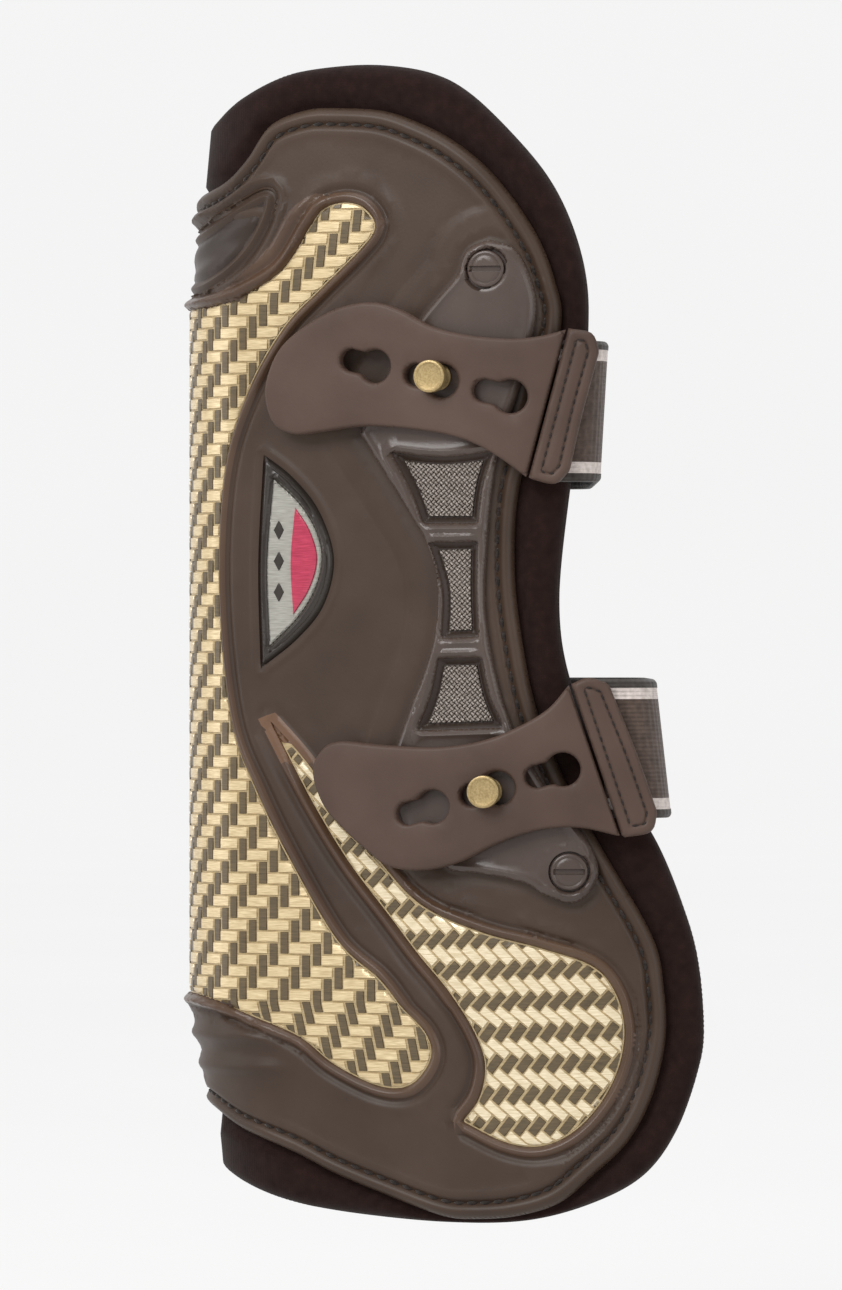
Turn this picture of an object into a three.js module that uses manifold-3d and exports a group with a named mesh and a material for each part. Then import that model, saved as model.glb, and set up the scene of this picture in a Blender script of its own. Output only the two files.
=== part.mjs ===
// Open-front tendon boot for a horse's foreleg: a moulded shell over a neoprene liner, a flexible stud
// carrier on each wing, and two elastic straps whose keyhole tabs button onto brass studs.
// Millimetres, +Z up, front opening towards +X, outer (lateral) side towards -Y.

import * as THREE from "three";
import { mergeVertices } from "three/addons/utils/BufferGeometryUtils.js";
import Module from "manifold-3d";

const wasm = await Module();
wasm.setup();

// ---- driving dimensions -------------------------------------------------------------------------

const LEG_AXIS = 45; // from the back of the shell to the middle of the leg
const TOP = 265; // the lofted layers reach past both ends and are then trimmed
const BOTTOM = -5;
const LOFT_STEPS = 9;
const TRIM_REACH = 80; // how far a trimming prism runs to each side
const OUTLINE_DETAIL = 2; // straight pieces between two points of a smooth run
const FIT_GAP = 0.35; // clearance round a piece let into another

// plan section of the shell's outer face: a round back, two straight wings, and soft front edges
const BACK_RADIUS = 28;
const WING_ANGLE = THREE.MathUtils.degToRad(21);
const WING_STRAIGHT_END = 52;
const EDGE_RADIUS = 120;
const SECTION_REACH = 124;
const BACK_FACETS = 7;
const EDGE_FACETS = 9;

// the section widens towards both ends, and the back leans in there
const MIDDLE_HEIGHT = 130;
const FLARE = 0.05;
const BACK_STRAIGHT = [49, 206];
const BOTTOM_LEAN = 9;
const TOP_LEAN = 6;

// layers, measured outwards from the shell's outer face
const SHELL = [-2.4, 0];
const LINER = [-7.7, -2.7];
const PAD = [-5.2, -3.1];
const PAD_POCKET = [-5.5, -2];
const SKIN = [-0.9, -0.1];
const SKIN_POCKET = [-1.2, 3];
const BEZEL = [-0.9, 0.6];
const INLAY = [0.2, 0.6];
const FRAME = [0.3, 2.3];
const MESH = [0.3, 1.0];
const TAB = [3.4, 6.0];
const SEAM_PLATE = [3.2, 6.2];
const ANCHOR = [5.3, 6.9];

const STUD = { head: 3.65, neck: 1.9, rise: 6.4, top: 9.8 };
const STUD_SHOULDER = { radius: 3.1, from: 2.6, to: 3.1 }; // the flange that holds the stud carrier down
const WASHER = { outer: 5, from: -2.3, to: -1.7 };
const PLUG = { head: 4.2, shank: 1.9, seat: 1.3, top: 2.5, slot: 1.0, slotDepth: 0.6, slotLength: 6.72 };
const EDGE_BREAK = 0.3; // chamfer round a stud's or a plug's top
const FOOT = SHELL[0] + 0.1; // studs and plugs start just inside the shell's inner face
const HOLE_CLEARANCE = 0.3;
const DRILL_REACH = 5; // how far a hole's cutter runs past the outer face on both sides
const ROUND_SIDES = 16;
const CURVE_DETAIL = 6; // straight pieces in each arc of a keyhole or bend of an elastic
const KEYHOLE = { narrow: 2.6, wide: 3.8, passage: 2.5 };

// the elastic's middle runs below the seam plate on one wing and clear of the stud carrier on the other
const ELASTIC = { thickness: 1.6, lateral: 1.9, medial: 3.9, corner: 9, bulgeX: 0.5, bulgeY: 0.4 };
const SAME_POINT = 0.01;
const LEAST_SPREAD = 0.5; // keeps a grown outline's sharp corners from running out far
const PATCH_RADIUS = 3;
const PATCH_CORNER = 0.3; // how far a patch's rounded corner cuts in, as a share of its radius

// ---- side outlines: x from the back of the shell, z from the lowest edge -------------------------

const BEHIND = -12; // outlines that wrap round the back start behind it

const LINER_OUTLINE = [
  [[BEHIND, 244], [2, 246.8], [10.6, 254.2], [20.7, 258.4], [32.2, 260.1], [43, 260.1], [53.8, 258],
    [62.6, 253.2], [72.7, 243.8], [80.8, 234.3], [86.2, 224.2], [89.6, 212.7], [90.3, 201.2],
    [88.8, 183], [86.2, 165.9], [83.5, 139.6], [86.2, 121.3], [94.6, 103], [106, 86], [112.8, 70.2],
    [116, 58.5], [117.2, 44.6], [116, 35.3], [110.8, 21.4], [103.1, 11.3], [91.4, 5],
    [75.9, 0.8], [57.4, 0], [37.1, 1.4], [21.6, 3.8], [11.6, 6.8], [4, 10.8], [BEHIND, 12]],
];
const SHELL_OUTLINE = [
  [[BEHIND, 231], [2.8, 232.3], [8.6, 235], [13.3, 239.8], [18.5, 247], [26.8, 250.2], [35, 250.4],
    [44.3, 249.5], [52.4, 246.5], [59.9, 242.4], [67.3, 236.4], [74.1, 228.3], [79.5, 219.5],
    [82.8, 210.7], [84.2, 201.9], [80.6, 184], [74.7, 165.2], [73.6, 146.3], [75.6, 128.8],
    [78.8, 114.6], [85, 99.5], [93, 84.9], [104.7, 64.8], [107.4, 53.1], [107.7, 41.4], [104.7, 29],
    [99.3, 18.9], [91.4, 11.3], [83.7, 5], [74.4, 2], [65.1, 1.1], [57.4, 1.6], [45, 5.9],
    [33.3, 10.5], [24.1, 15.1], [12.4, 19.8], [5, 24.5], [BEHIND, 26]],
];
const TENDON_OUTLINE = [
  [[BEHIND, 206], [0, 206], [6.5, 206.6], [14, 209.3], [22.1, 214.7], [28.1, 224.2], [31, 227.8],
    [35.6, 229.1], [40, 227.8], [42.6, 223.4], [38.9, 218.1], [30.4, 209.8], [22.1, 201.2],
    [14, 187.1], [8.6, 169.3], [7.2, 142.3], [9.9, 113.2], [15.8, 96.6], [24.5, 79.2], [34.4, 62.8],
    [43.4, 54.7], [48.5, 48.4], [54, 42.5], [55, 36.9], [50.5, 31], [43.4, 30.6], [33.3, 35.3],
    [25.4, 41.4], [14, 46.1], [3.2, 50], [BEHIND, 50.5]],
];
const LEAF_OUTLINE = [
  [[19.1, 112.3], [22.6, 105.4], [28.8, 93.6], [36.7, 80.8], [45.9, 68.7], [52.5, 60], [59, 52.2],
    [64.6, 43.5], [67.2, 36], [66, 28.5], [62.2, 23]],
  [[62.2, 23], [71.4, 18.6], [79, 17.6], [86, 20.3], [92, 26], [96.6, 34], [98.4, 43], [96.6, 51.5],
    [91.4, 57.8], [80, 61.8], [66, 65.5], [52.7, 71.5], [43.2, 81.5], [35, 92], [27.2, 103.1],
    [19.1, 112.3]],
];
const VENT_OUTLINE = [
  [[BEHIND, 223.5], [2, 224], [9.5, 228.5], [16.9, 232.3], [19.8, 231.2], [19.2, 226.5],
    [15.5, 219.3], [10.1, 213.6], [3.4, 209.6], [BEHIND, 209]],
];
const PAD_OUTLINE = [
  [[BEHIND, 198], [4, 198], [11, 193], [14, 182]],
  [[14, 182], [14, 84]],
  [[14, 84], [11, 71], [4, 64], [BEHIND, 64]],
];
const BADGE_OUTLINE = [
  [[17.6, 172.4], [24.1, 167.2], [30, 159.6], [33.3, 149], [31, 138.6], [25, 131], [16.9, 124.5]],
  [[16.9, 124.5], [16.4, 148], [17.6, 172.4]],
];
const PLATE_OUTLINE = [
  [[19.6, 167], [25.4, 161.4], [29.2, 155.2], [30.5, 149], [29, 142.4], [25, 135.8], [18.7, 129.4]],
  [[18.7, 129.4], [18.1, 148], [19.6, 167]],
];
const CRESCENT_OUTLINE = [
  [[24.6, 160.6], [27.8, 155.6], [29.6, 149.2], [28, 142.6], [24.2, 136.4]],
  [[24.2, 136.4], [23.6, 148.5], [24.6, 160.6]],
];
const FRAME_OUTLINE = [
  [[68.4, 220.2], [63.6, 217.9], [61.6, 212.4], [57.6, 207.6], [53.4, 202.4], [46.5, 191.5],
    [39.8, 177.2]],
  [[39.8, 177.2], [48, 164], [55.2, 151.5], [57.3, 139.6], [55.4, 127], [50.8, 114.5], [47.2, 102],
    [49.6, 88], [60.3, 79]],
  [[60.3, 79], [67.5, 78.3], [76.1, 76.5], [81.5, 73.4], [88, 72.2], [92.6, 78.4], [89.6, 87.1],
    [80.8, 98], [73.4, 111.9], [69.6, 124.7], [67.6, 138], [68, 151.7], [70.2, 170.6],
    [75.6, 188], [78.9, 203.3], [77.8, 211], [74.2, 218], [68.4, 220.2]],
];
const WINDOWS = {
  upper: [[[47, 172.7], [58, 171.6], [69.3, 172.7]], [[69.3, 172.7], [67, 165], [66, 156.9]],
    [[66, 156.9], [54, 156.9]], [[54, 156.9], [51.5, 164], [47, 172.7]]],
  middle: [[[55.4, 152.4], [66, 152.6]], [[66, 152.6], [65.8, 142], [66.2, 131.5]],
    [[66.2, 131.5], [58.1, 131.2]], [[58.1, 131.2], [58.3, 142], [55.4, 152.4]]],
  lower: [[[57.4, 126.5], [66.9, 126.7]], [[66.9, 126.7], [68.6, 118.5], [71.6, 111.2]],
    [[71.6, 111.2], [52.7, 110.5]], [[52.7, 110.5], [55.6, 118], [57.4, 126.5]]],
};

// each strap: the tab's outline, the seam plate's outline, keyholes as [narrow end, wide end]
const UPPER = {
  tab: [
    [[85.6, 199.8], [79.5, 198.3], [72.7, 197.9], [63.3, 199], [56.4, 201], [50.4, 204.4], [44, 206.3],
      [36.5, 205.2], [29, 201.6], [22.1, 197.2], [18.4, 191.5], [17.3, 185.5], [19.4, 178.8],
      [24.8, 176.7], [32.2, 177.4], [43, 178.6], [55.8, 177.4], [64, 175.4], [70.5, 172],
      [77.2, 167]],
    [[77.2, 167], [85.6, 199.8]],
  ],
  plate: [
    [[86.2, 200.1], [91.2, 199], [92.8, 195]],
    [[92.8, 195], [89.3, 181.6], [86.4, 168.4]],
    [[86.4, 168.4], [83.2, 165.5], [77.7, 166.7]],
    [[77.7, 166.7], [86.2, 200.1]],
  ],
  keyholes: [[[39.2, 193.4], [44.6, 192]], [[53.6, 189.9], [59.2, 188.6]], [[68.2, 186.3], [73.8, 185]]],
  stud: [57.7, 189.5],
  elastic: { from: 166, to: 197.5, front: 93.2, lean: 0.0575, start: 80, end: 60 },
  anchor: [58.5, 167.6, 77, 195.9],
};
const LOWER = {
  tab: [
    [[86.2, 120.6], [81.6, 115.2], [74.7, 111], [67.5, 108.2], [58, 106.8], [46, 107.2], [36.4, 108],
      [31.2, 105.8], [28.6, 101], [30.4, 93], [35.2, 87.2], [41, 82.8], [47.5, 80.1], [54.7, 79.2],
      [62.5, 81], [71.1, 85.4], [80, 88.4], [88.5, 88.9], [97.2, 87]],
    [[97.2, 87], [86.2, 120.6]],
  ],
  plate: [
    [[86.8, 120.9], [90.4, 122.4], [94.8, 121]],
    [[94.8, 121], [100.6, 106], [105.2, 92.4]],
    [[105.2, 92.4], [103.8, 88], [97.8, 86.7]],
    [[97.8, 86.7], [86.8, 120.9]],
  ],
  keyholes: [[[51.8, 91.9], [57.2, 93.5]], [[65.6, 96.1], [71.1, 97.7]], [[79.4, 100.3], [85, 101.9]]],
  stud: [68.8, 96.9],
  elastic: { from: 91, to: 122, front: 106.5, lean: -0.112, start: 88, end: 66 },
  anchor: [64.5, 92.8, 83.5, 120.2],
};
const PLUGS = { upper: [67.9, 213.6], lower: [86.2, 79] };

// ---- the leg-shaped surface ----------------------------------------------------------------------

/** Half width and heading of one wing's outer face at x from the back (the heading is 90 degrees there). */
function wing(x) {
  const backEnd = BACK_RADIUS * (1 - Math.sin(WING_ANGLE));
  if (x < backEnd) {
    const heading = Math.asin(1 - x / BACK_RADIUS);
    return { y: BACK_RADIUS * Math.cos(heading), heading };
  }
  const backWidth = BACK_RADIUS * Math.cos(WING_ANGLE);
  const straight = Math.min(x, WING_STRAIGHT_END) - backEnd;
  const y = backWidth + straight * Math.tan(WING_ANGLE);
  if (x <= WING_STRAIGHT_END) return { y, heading: WING_ANGLE };
  const heading = Math.asin(Math.sin(WING_ANGLE) - (x - WING_STRAIGHT_END) / EDGE_RADIUS);
  return { y: y + EDGE_RADIUS * (Math.cos(heading) - Math.cos(WING_ANGLE)), heading };
}

/** Stations along one wing, from the back to the front. */
function stations() {
  const list = [];
  for (let i = 1; i <= BACK_FACETS; i += 1) {
    const heading = Math.PI / 2 - (i / BACK_FACETS) * (Math.PI / 2 - WING_ANGLE);
    list.push(BACK_RADIUS * (1 - Math.sin(heading)));
  }
  list.push((list.at(-1) + WING_STRAIGHT_END) / 2);
  for (let i = 0; i <= EDGE_FACETS; i += 1) {
    list.push(WING_STRAIGHT_END + ((SECTION_REACH - WING_STRAIGHT_END) * i) / EDGE_FACETS);
  }
  return list;
}

/** A point of the plan section, pushed outwards by offset; side is -1 lateral, +1 medial. */
function sectionPoint(x, offset, side) {
  const { y, heading } = wing(x);
  return new THREE.Vector2(x - offset * Math.sin(heading), side * (y + offset * Math.cos(heading)));
}

function flare(z) {
  return 1 + FLARE * ((z - MIDDLE_HEIGHT) / MIDDLE_HEIGHT) ** 2;
}

function lean(z) {
  const [low, high] = BACK_STRAIGHT;
  if (z < low) return BOTTOM_LEAN * Math.min(1, (low - z) / low) ** 0.9;
  if (z > high) return TOP_LEAN * ((z - high) / (2 * MIDDLE_HEIGHT - high)) ** 1.2;
  return 0;
}

/** A flat solid that stands upright, bent to the boot's flare and lean. */
function bend(geometry) {
  const place = geometry.attributes.position;
  for (let i = 0; i < place.count; i += 1) {
    const z = place.getZ(i);
    place.setXYZ(i, place.getX(i) + lean(z), place.getY(i) * flare(z), z);
  }
  return geometry;
}

/** Where a fastener at (x, z) in side view meets the outer face, and its outward direction. */
function seat(x, z, side) {
  const flat = x - lean(z);
  const { y, heading } = wing(flat);
  return {
    point: new THREE.Vector3(x, side * y * flare(z), z),
    outward: new THREE.Vector3(-Math.sin(heading), side * Math.cos(heading), 0),
  };
}

// ---- solids -------------------------------------------------------------------------------------

function solid(geometry) {
  geometry.deleteAttribute("normal");
  geometry.deleteAttribute("uv");
  const merged = mergeVertices(geometry, 1e-4);
  return new wasm.Manifold(new wasm.Mesh({
    numProp: 3,
    vertProperties: Float32Array.from(merged.attributes.position.array),
    triVerts: Uint32Array.from(merged.index.array),
  }));
}

/** The points of an outline of smooth runs that meet at corners, moved outwards by margin. */
function grown(runs, margin) {
  const found = [];
  for (const run of runs) {
    const points = run.map(([x, z]) => new THREE.Vector2(x, z));
    const curve = points.length === 2
      ? new THREE.LineCurve(points[0], points[1])
      : new THREE.SplineCurve(points);
    const pieces = points.length === 2 ? 1 : OUTLINE_DETAIL * (points.length - 1);
    found.push(...curve.getPoints(pieces).slice(0, -1));
  }
  if (margin === 0) return found;
  const turn = THREE.ShapeUtils.isClockWise(found) ? -1 : 1;
  return found.map((point, i) => {
    const before = found[(i + found.length - 1) % found.length];
    const after = found[(i + 1) % found.length];
    const a = point.clone().sub(before).normalize();
    const b = after.clone().sub(point).normalize();
    const normal = new THREE.Vector2(a.y + b.y, -a.x - b.x).normalize();
    const spread = Math.max(LEAST_SPREAD, normal.x * a.y - normal.y * a.x);
    return point.clone().addScaledVector(normal, (turn * margin) / spread);
  });
}

/** A prism across the boot, from a side outline; side 0 cuts both wings. */
function prism(points, side) {
  const geometry = new THREE.ExtrudeGeometry(new THREE.Shape(points), {
    depth: side === 0 ? 2 * TRIM_REACH : TRIM_REACH,
    bevelEnabled: false,
  });
  geometry.rotateX(Math.PI / 2);
  if (side >= 0) geometry.translate(0, TRIM_REACH, 0);
  return solid(geometry);
}

/** A layer of the boot between two offsets, over its whole height. */
function layer([inner, outer]) {
  const run = stations();
  const around = (offset) => [
    ...run.map((x) => sectionPoint(x, offset, -1)).reverse(),
    sectionPoint(0, offset, 1),
    ...run.map((x) => sectionPoint(x, offset, 1)),
  ];
  const profile = new THREE.Shape([...around(outer), ...around(inner).reverse()]);
  const geometry = new THREE.ExtrudeGeometry(profile, {
    depth: TOP - BOTTOM,
    steps: LOFT_STEPS,
    bevelEnabled: false,
  });
  geometry.translate(0, 0, BOTTOM);
  return solid(bend(geometry));
}

/** A piece cut from a layer by its side outline. */
function cutPiece(offsets, runs, side, margin = 0) {
  return layer(offsets).intersect(prism(grown(runs, margin), side));
}

/** A turned piece standing on the outer face; the profile is [radius, height above the face]. */
function turned(profile, at) {
  const geometry = new THREE.LatheGeometry(profile.map(([r, h]) => new THREE.Vector2(r, h)), ROUND_SIDES);
  return place(geometry, at);
}

function place(geometry, { point, outward }) {
  const turn = new THREE.Quaternion().setFromUnitVectors(new THREE.Vector3(0, 1, 0), outward);
  geometry.applyQuaternion(turn);
  geometry.translate(point.x, point.y, point.z);
  return solid(geometry);
}

function drill(radius, from, to, at) {
  return turned([[0, from], [radius, from], [radius, to], [0, to]], at);
}

function keyhole([narrow, wide]) {
  const along = new THREE.Vector2(wide[0] - narrow[0], wide[1] - narrow[1]);
  const turn = along.angle();
  const facing = turn + Math.PI;
  const shape = new THREE.Shape();
  const neckBack = Math.asin(KEYHOLE.passage / KEYHOLE.narrow);
  const neckFront = Math.asin(KEYHOLE.passage / KEYHOLE.wide);
  shape.absarc(narrow[0], narrow[1], KEYHOLE.narrow, turn + neckBack, turn - neckBack, false);
  shape.absarc(wide[0], wide[1], KEYHOLE.wide, facing + neckFront, facing - neckFront, false);
  return prism(shape.getPoints(CURVE_DETAIL), -1);
}

// ---- fasteners ----------------------------------------------------------------------------------

function stud(at) {
  const { head, neck, rise, top } = STUD;
  const { radius, from, to } = STUD_SHOULDER;
  return turned([
    [0, FOOT], [neck, FOOT], [neck, from], [radius, from], [radius, to], [neck, to],
    [neck, rise], [head, rise], [head, top - EDGE_BREAK], [head - EDGE_BREAK, top], [0, top],
  ], at);
}

function washer(at) {
  const inner = STUD.neck + HOLE_CLEARANCE;
  const { outer, from, to } = WASHER;
  return turned([[inner, from], [outer, from], [outer, to], [inner, to], [inner, from]], at);
}

function plug(at) {
  const { head, shank, seat: low, top, slot, slotDepth, slotLength } = PLUG;
  const body = turned([
    [0, FOOT], [shank, FOOT], [shank, low], [head, low], [head, top - EDGE_BREAK],
    [head - EDGE_BREAK, top], [0, top],
  ], at);
  const cut = new THREE.BoxGeometry(slotLength, 2 * slotDepth, slot);
  cut.translate(0, top, 0);
  return body.subtract(place(cut, at));
}

// ---- straps -------------------------------------------------------------------------------------

/** A tab lying over the lateral wing, with its keyholes. */
function tab(strap) {
  return strap.keyholes.reduce(
    (body, ends) => body.subtract(keyhole(ends)),
    cutPiece(TAB, strap.tab, -1),
  );
}

/** The elastic: under the seam plate, across the open front, and back along the medial wing. */
function elastic({ from, to, front, lean: slope, start, end }) {
  const middle = (from + to) / 2;
  const { thickness, lateral, medial, corner, bulgeX, bulgeY } = ELASTIC;
  const path = new THREE.Path();
  const run = (shares, first, last, offset, side) => shares.map(
    (share) => sectionPoint(first + (last - first) * share, offset, side),
  );
  const out = run([0, 1], start, front - corner, lateral, -1);
  const back = run([0, 0.5, 1], front - corner, end, medial, 1);
  path.moveTo(out[0].x, out[0].y);
  out.slice(1).forEach((p) => path.lineTo(p.x, p.y));
  path.quadraticCurveTo(front - bulgeX, out.at(-1).y - bulgeY, front, out.at(-1).y + corner);
  path.lineTo(front, back[0].y - corner);
  path.quadraticCurveTo(front - bulgeX, back[0].y + bulgeY, back[0].x, back[0].y);
  back.slice(1).forEach((p) => path.lineTo(p.x, p.y));
  const line = path.getPoints(CURVE_DETAIL)
    .filter((p, i, all) => i === 0 || p.distanceTo(all[i - 1]) > SAME_POINT);
  const across = line.map((p, i) => {
    const ahead = line[Math.min(i + 1, line.length - 1)].clone().sub(line[Math.max(i - 1, 0)]).normalize();
    return new THREE.Vector2(ahead.y, -ahead.x).multiplyScalar(thickness / 2);
  });
  const edge = (sign) => line.map((p, i) => p.clone().addScaledVector(across[i], sign));
  const shape = new THREE.Shape([...edge(1), ...edge(-1).reverse()]);
  const geometry = new THREE.ExtrudeGeometry(shape, { depth: to - from, bevelEnabled: false });
  geometry.translate(0, 0, from);
  const points = geometry.attributes.position;
  for (let i = 0; i < points.count; i += 1) {
    points.setX(i, points.getX(i) + slope * (points.getZ(i) - middle));
    points.setY(i, points.getY(i) * flare(middle));
  }
  return solid(geometry);
}

function roundedPatch([x0, z0, x1, z1]) {
  const r = PATCH_RADIUS;
  const c = PATCH_CORNER * r;
  return [
    [[x0, z0 + r], [x0 + c, z0 + c], [x0 + r, z0]],
    [[x0 + r, z0], [x1 - r, z0]],
    [[x1 - r, z0], [x1 - c, z0 + c], [x1, z0 + r]],
    [[x1, z0 + r], [x1, z1 - r]],
    [[x1, z1 - r], [x1 - c, z1 - c], [x1 - r, z1]],
    [[x1 - r, z1], [x0 + r, z1]],
    [[x0 + r, z1], [x0 + c, z1 - c], [x0, z1 - r]],
    [[x0, z1 - r], [x0, z0 + r]],
  ];
}

// ---- shell, liner and what is let into them ------------------------------------------------------

const SIDES = { lateral: -1, medial: 1 };
const studSeats = { upper: seat(...UPPER.stud, -1), lower: seat(...LOWER.stud, -1) };

function liner() {
  return cutPiece(LINER, LINER_OUTLINE, 0).subtract(cutPiece(PAD_POCKET, PAD_OUTLINE, 0, FIT_GAP));
}

function shell() {
  let body = cutPiece(SHELL, SHELL_OUTLINE, 0);
  const pockets = [[TENDON_OUTLINE, 0], [VENT_OUTLINE, 0], [LEAF_OUTLINE, -1], [LEAF_OUTLINE, 1],
    [BADGE_OUTLINE, -1]];
  for (const [runs, side] of pockets) {
    body = body.subtract(cutPiece(SKIN_POCKET, runs, side, FIT_GAP));
  }
  for (const side of Object.values(SIDES)) {
    for (const [x, z] of Object.values(PLUGS)) {
      body = body.subtract(drill(PLUG.shank + HOLE_CLEARANCE, -DRILL_REACH, DRILL_REACH, seat(x, z, side)));
    }
  }
  for (const at of Object.values(studSeats)) {
    body = body.subtract(drill(STUD.neck + HOLE_CLEARANCE, -DRILL_REACH, DRILL_REACH, at));
    body = body.subtract(
      drill(WASHER.outer + HOLE_CLEARANCE, -DRILL_REACH, WASHER.to + HOLE_CLEARANCE, at),
    );
  }
  return body;
}

function flexFrame(side) {
  let body = cutPiece(FRAME, FRAME_OUTLINE, side);
  for (const runs of Object.values(WINDOWS)) body = body.subtract(prism(grown(runs, 0), side));
  for (const [x, z] of Object.values(PLUGS)) {
    const at = seat(x, z, side);
    body = body.subtract(drill(PLUG.shank + HOLE_CLEARANCE, -DRILL_REACH, DRILL_REACH, at));
    body = body.subtract(
      drill(PLUG.head + HOLE_CLEARANCE, PLUG.seat - HOLE_CLEARANCE, DRILL_REACH, at),
    );
  }
  if (side < 0) {
    for (const at of Object.values(studSeats)) {
      body = body.subtract(drill(STUD.neck + HOLE_CLEARANCE, -DRILL_REACH, DRILL_REACH, at));
    }
  }
  return body;
}

// ---- assembly -----------------------------------------------------------------------------------

const LOOK = {
  shell: [0x4f4439, 0.5, 0],
  liner: [0x2a201e, 0.95, 0],
  pad: [0x8a8f94, 0.7, 0],
  weave: [0xd8bf86, 0.35, 0.4],
  frame: [0x5b4f47, 0.4, 0],
  mesh: [0x8a8078, 0.5, 0.4],
  brass: [0xc8ab66, 0.3, 1],
  steel: [0x9a9a98, 0.35, 1],
  tab: [0x67554c, 0.6, 0],
  elastic: [0x504238, 0.9, 0],
  badge: [0xb4b4ac, 0.35, 0.4],
  enamel: [0xb83a50, 0.3, 0],
};

const boot = new THREE.Group();
boot.position.x = -LEG_AXIS;

function add(name, look, body) {
  const mesh = body.getMesh();
  const geometry = new THREE.BufferGeometry();
  geometry.setAttribute("position", new THREE.BufferAttribute(mesh.vertProperties, 3));
  geometry.setIndex(new THREE.BufferAttribute(mesh.triVerts, 1));
  const [color, roughness, metalness] = LOOK[look];
  const piece = new THREE.Mesh(geometry, new THREE.MeshStandardMaterial({ color, roughness, metalness }));
  piece.name = name;
  boot.add(piece);
}

add("neoprene_liner", "liner", liner());
add("tendon_gel_pad", "pad", cutPiece(PAD, PAD_OUTLINE, 0));
add("outer_shell", "shell", shell());
add("tendon_weave_panel", "weave", cutPiece(SKIN, TENDON_OUTLINE, 0));
add("rear_flex_insert", "frame", cutPiece(SKIN, VENT_OUTLINE, 0));

for (const [sideName, side] of Object.entries(SIDES)) {
  add(`${sideName}_leaf_panel`, "weave", cutPiece(SKIN, LEAF_OUTLINE, side));
  add(`${sideName}_flex_frame`, "frame", flexFrame(side));
  for (const [name, runs] of Object.entries(WINDOWS)) {
    add(`${sideName}_mesh_${name}`, "mesh", cutPiece(MESH, runs, side, -FIT_GAP));
  }
  for (const [name, [x, z]] of Object.entries(PLUGS)) {
    add(`${sideName}_plug_${name}`, "frame", plug(seat(x, z, side)));
  }
}

add("badge_bezel", "shell", cutPiece(BEZEL, BADGE_OUTLINE, -1).subtract(
  prism(grown(PLATE_OUTLINE, FIT_GAP), -1),
));
add("badge_plate", "badge", cutPiece(SKIN, PLATE_OUTLINE, -1));
add("badge_inlay", "enamel", cutPiece(INLAY, CRESCENT_OUTLINE, -1));

for (const [name, strap] of Object.entries({ upper: UPPER, lower: LOWER })) {
  add(`${name}_stud`, "brass", stud(studSeats[name]));
  add(`${name}_stud_washer`, "steel", washer(studSeats[name]));
  add(`${name}_tab`, "tab", tab(strap));
  add(`${name}_seam_plate`, "tab", cutPiece(SEAM_PLATE, strap.plate, -1));
  add(`${name}_elastic`, "elastic", elastic(strap.elastic));
  add(`${name}_anchor_patch`, "tab", cutPiece(ANCHOR, roundedPatch(strap.anchor), 1));
}

export default boot;
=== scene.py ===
"""An open-front tendon boot: moulded shell, knit-faced liner, woven-look inserts, stud carriers and straps.

Outlines are in millimetres in side view, x from the back of the shell and z from the boot's lowest edge.
Every sheet-like piece is laid out flat in (s, z), where s is the distance round the section from the back
(negative on the lateral side), given a relief, and then wrapped onto the boot's outer face.
"""

import math

import bmesh
import bpy
import numpy as np
from mathutils import Matrix, Vector, geometry, kdtree


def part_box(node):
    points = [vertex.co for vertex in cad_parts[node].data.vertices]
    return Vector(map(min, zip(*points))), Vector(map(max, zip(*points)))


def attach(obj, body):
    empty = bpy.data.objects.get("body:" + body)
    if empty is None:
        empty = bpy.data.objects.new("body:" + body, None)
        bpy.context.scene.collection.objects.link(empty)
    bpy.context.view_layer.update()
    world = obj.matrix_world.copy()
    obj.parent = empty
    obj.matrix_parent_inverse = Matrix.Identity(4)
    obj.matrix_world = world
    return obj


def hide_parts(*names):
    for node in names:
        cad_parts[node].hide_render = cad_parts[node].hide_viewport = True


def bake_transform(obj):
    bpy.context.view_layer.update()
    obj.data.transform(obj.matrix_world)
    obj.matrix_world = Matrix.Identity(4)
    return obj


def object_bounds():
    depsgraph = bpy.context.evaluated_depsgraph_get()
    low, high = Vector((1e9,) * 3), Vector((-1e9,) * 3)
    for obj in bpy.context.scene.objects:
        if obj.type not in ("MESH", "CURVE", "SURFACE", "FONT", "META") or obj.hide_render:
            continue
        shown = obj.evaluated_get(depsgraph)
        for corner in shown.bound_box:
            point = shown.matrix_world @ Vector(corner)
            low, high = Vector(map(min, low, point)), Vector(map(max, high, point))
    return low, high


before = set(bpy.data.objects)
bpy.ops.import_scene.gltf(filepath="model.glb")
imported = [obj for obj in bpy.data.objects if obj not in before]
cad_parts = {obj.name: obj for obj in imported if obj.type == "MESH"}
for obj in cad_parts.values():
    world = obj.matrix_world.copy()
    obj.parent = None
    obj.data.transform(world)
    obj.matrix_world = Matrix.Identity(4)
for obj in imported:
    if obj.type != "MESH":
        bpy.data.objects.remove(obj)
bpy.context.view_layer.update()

MM = 0.001

# ---- driving dimensions (mm) ---------------------------------------------------------------------

BACK_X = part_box("tendon_weave_panel")[0][0] / MM + 0.1  # frame x of the shell's outer face at the back
BACK_RADIUS = 28
WING_ANGLE = math.radians(21)
WING_STRAIGHT_END = 52
EDGE_RADIUS = 120
MIDDLE_HEIGHT = 130
FLARE = 0.05
BACK_STRAIGHT = (49, 206)
BOTTOM_LEAN = 9
TOP_LEAN = 6

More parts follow.
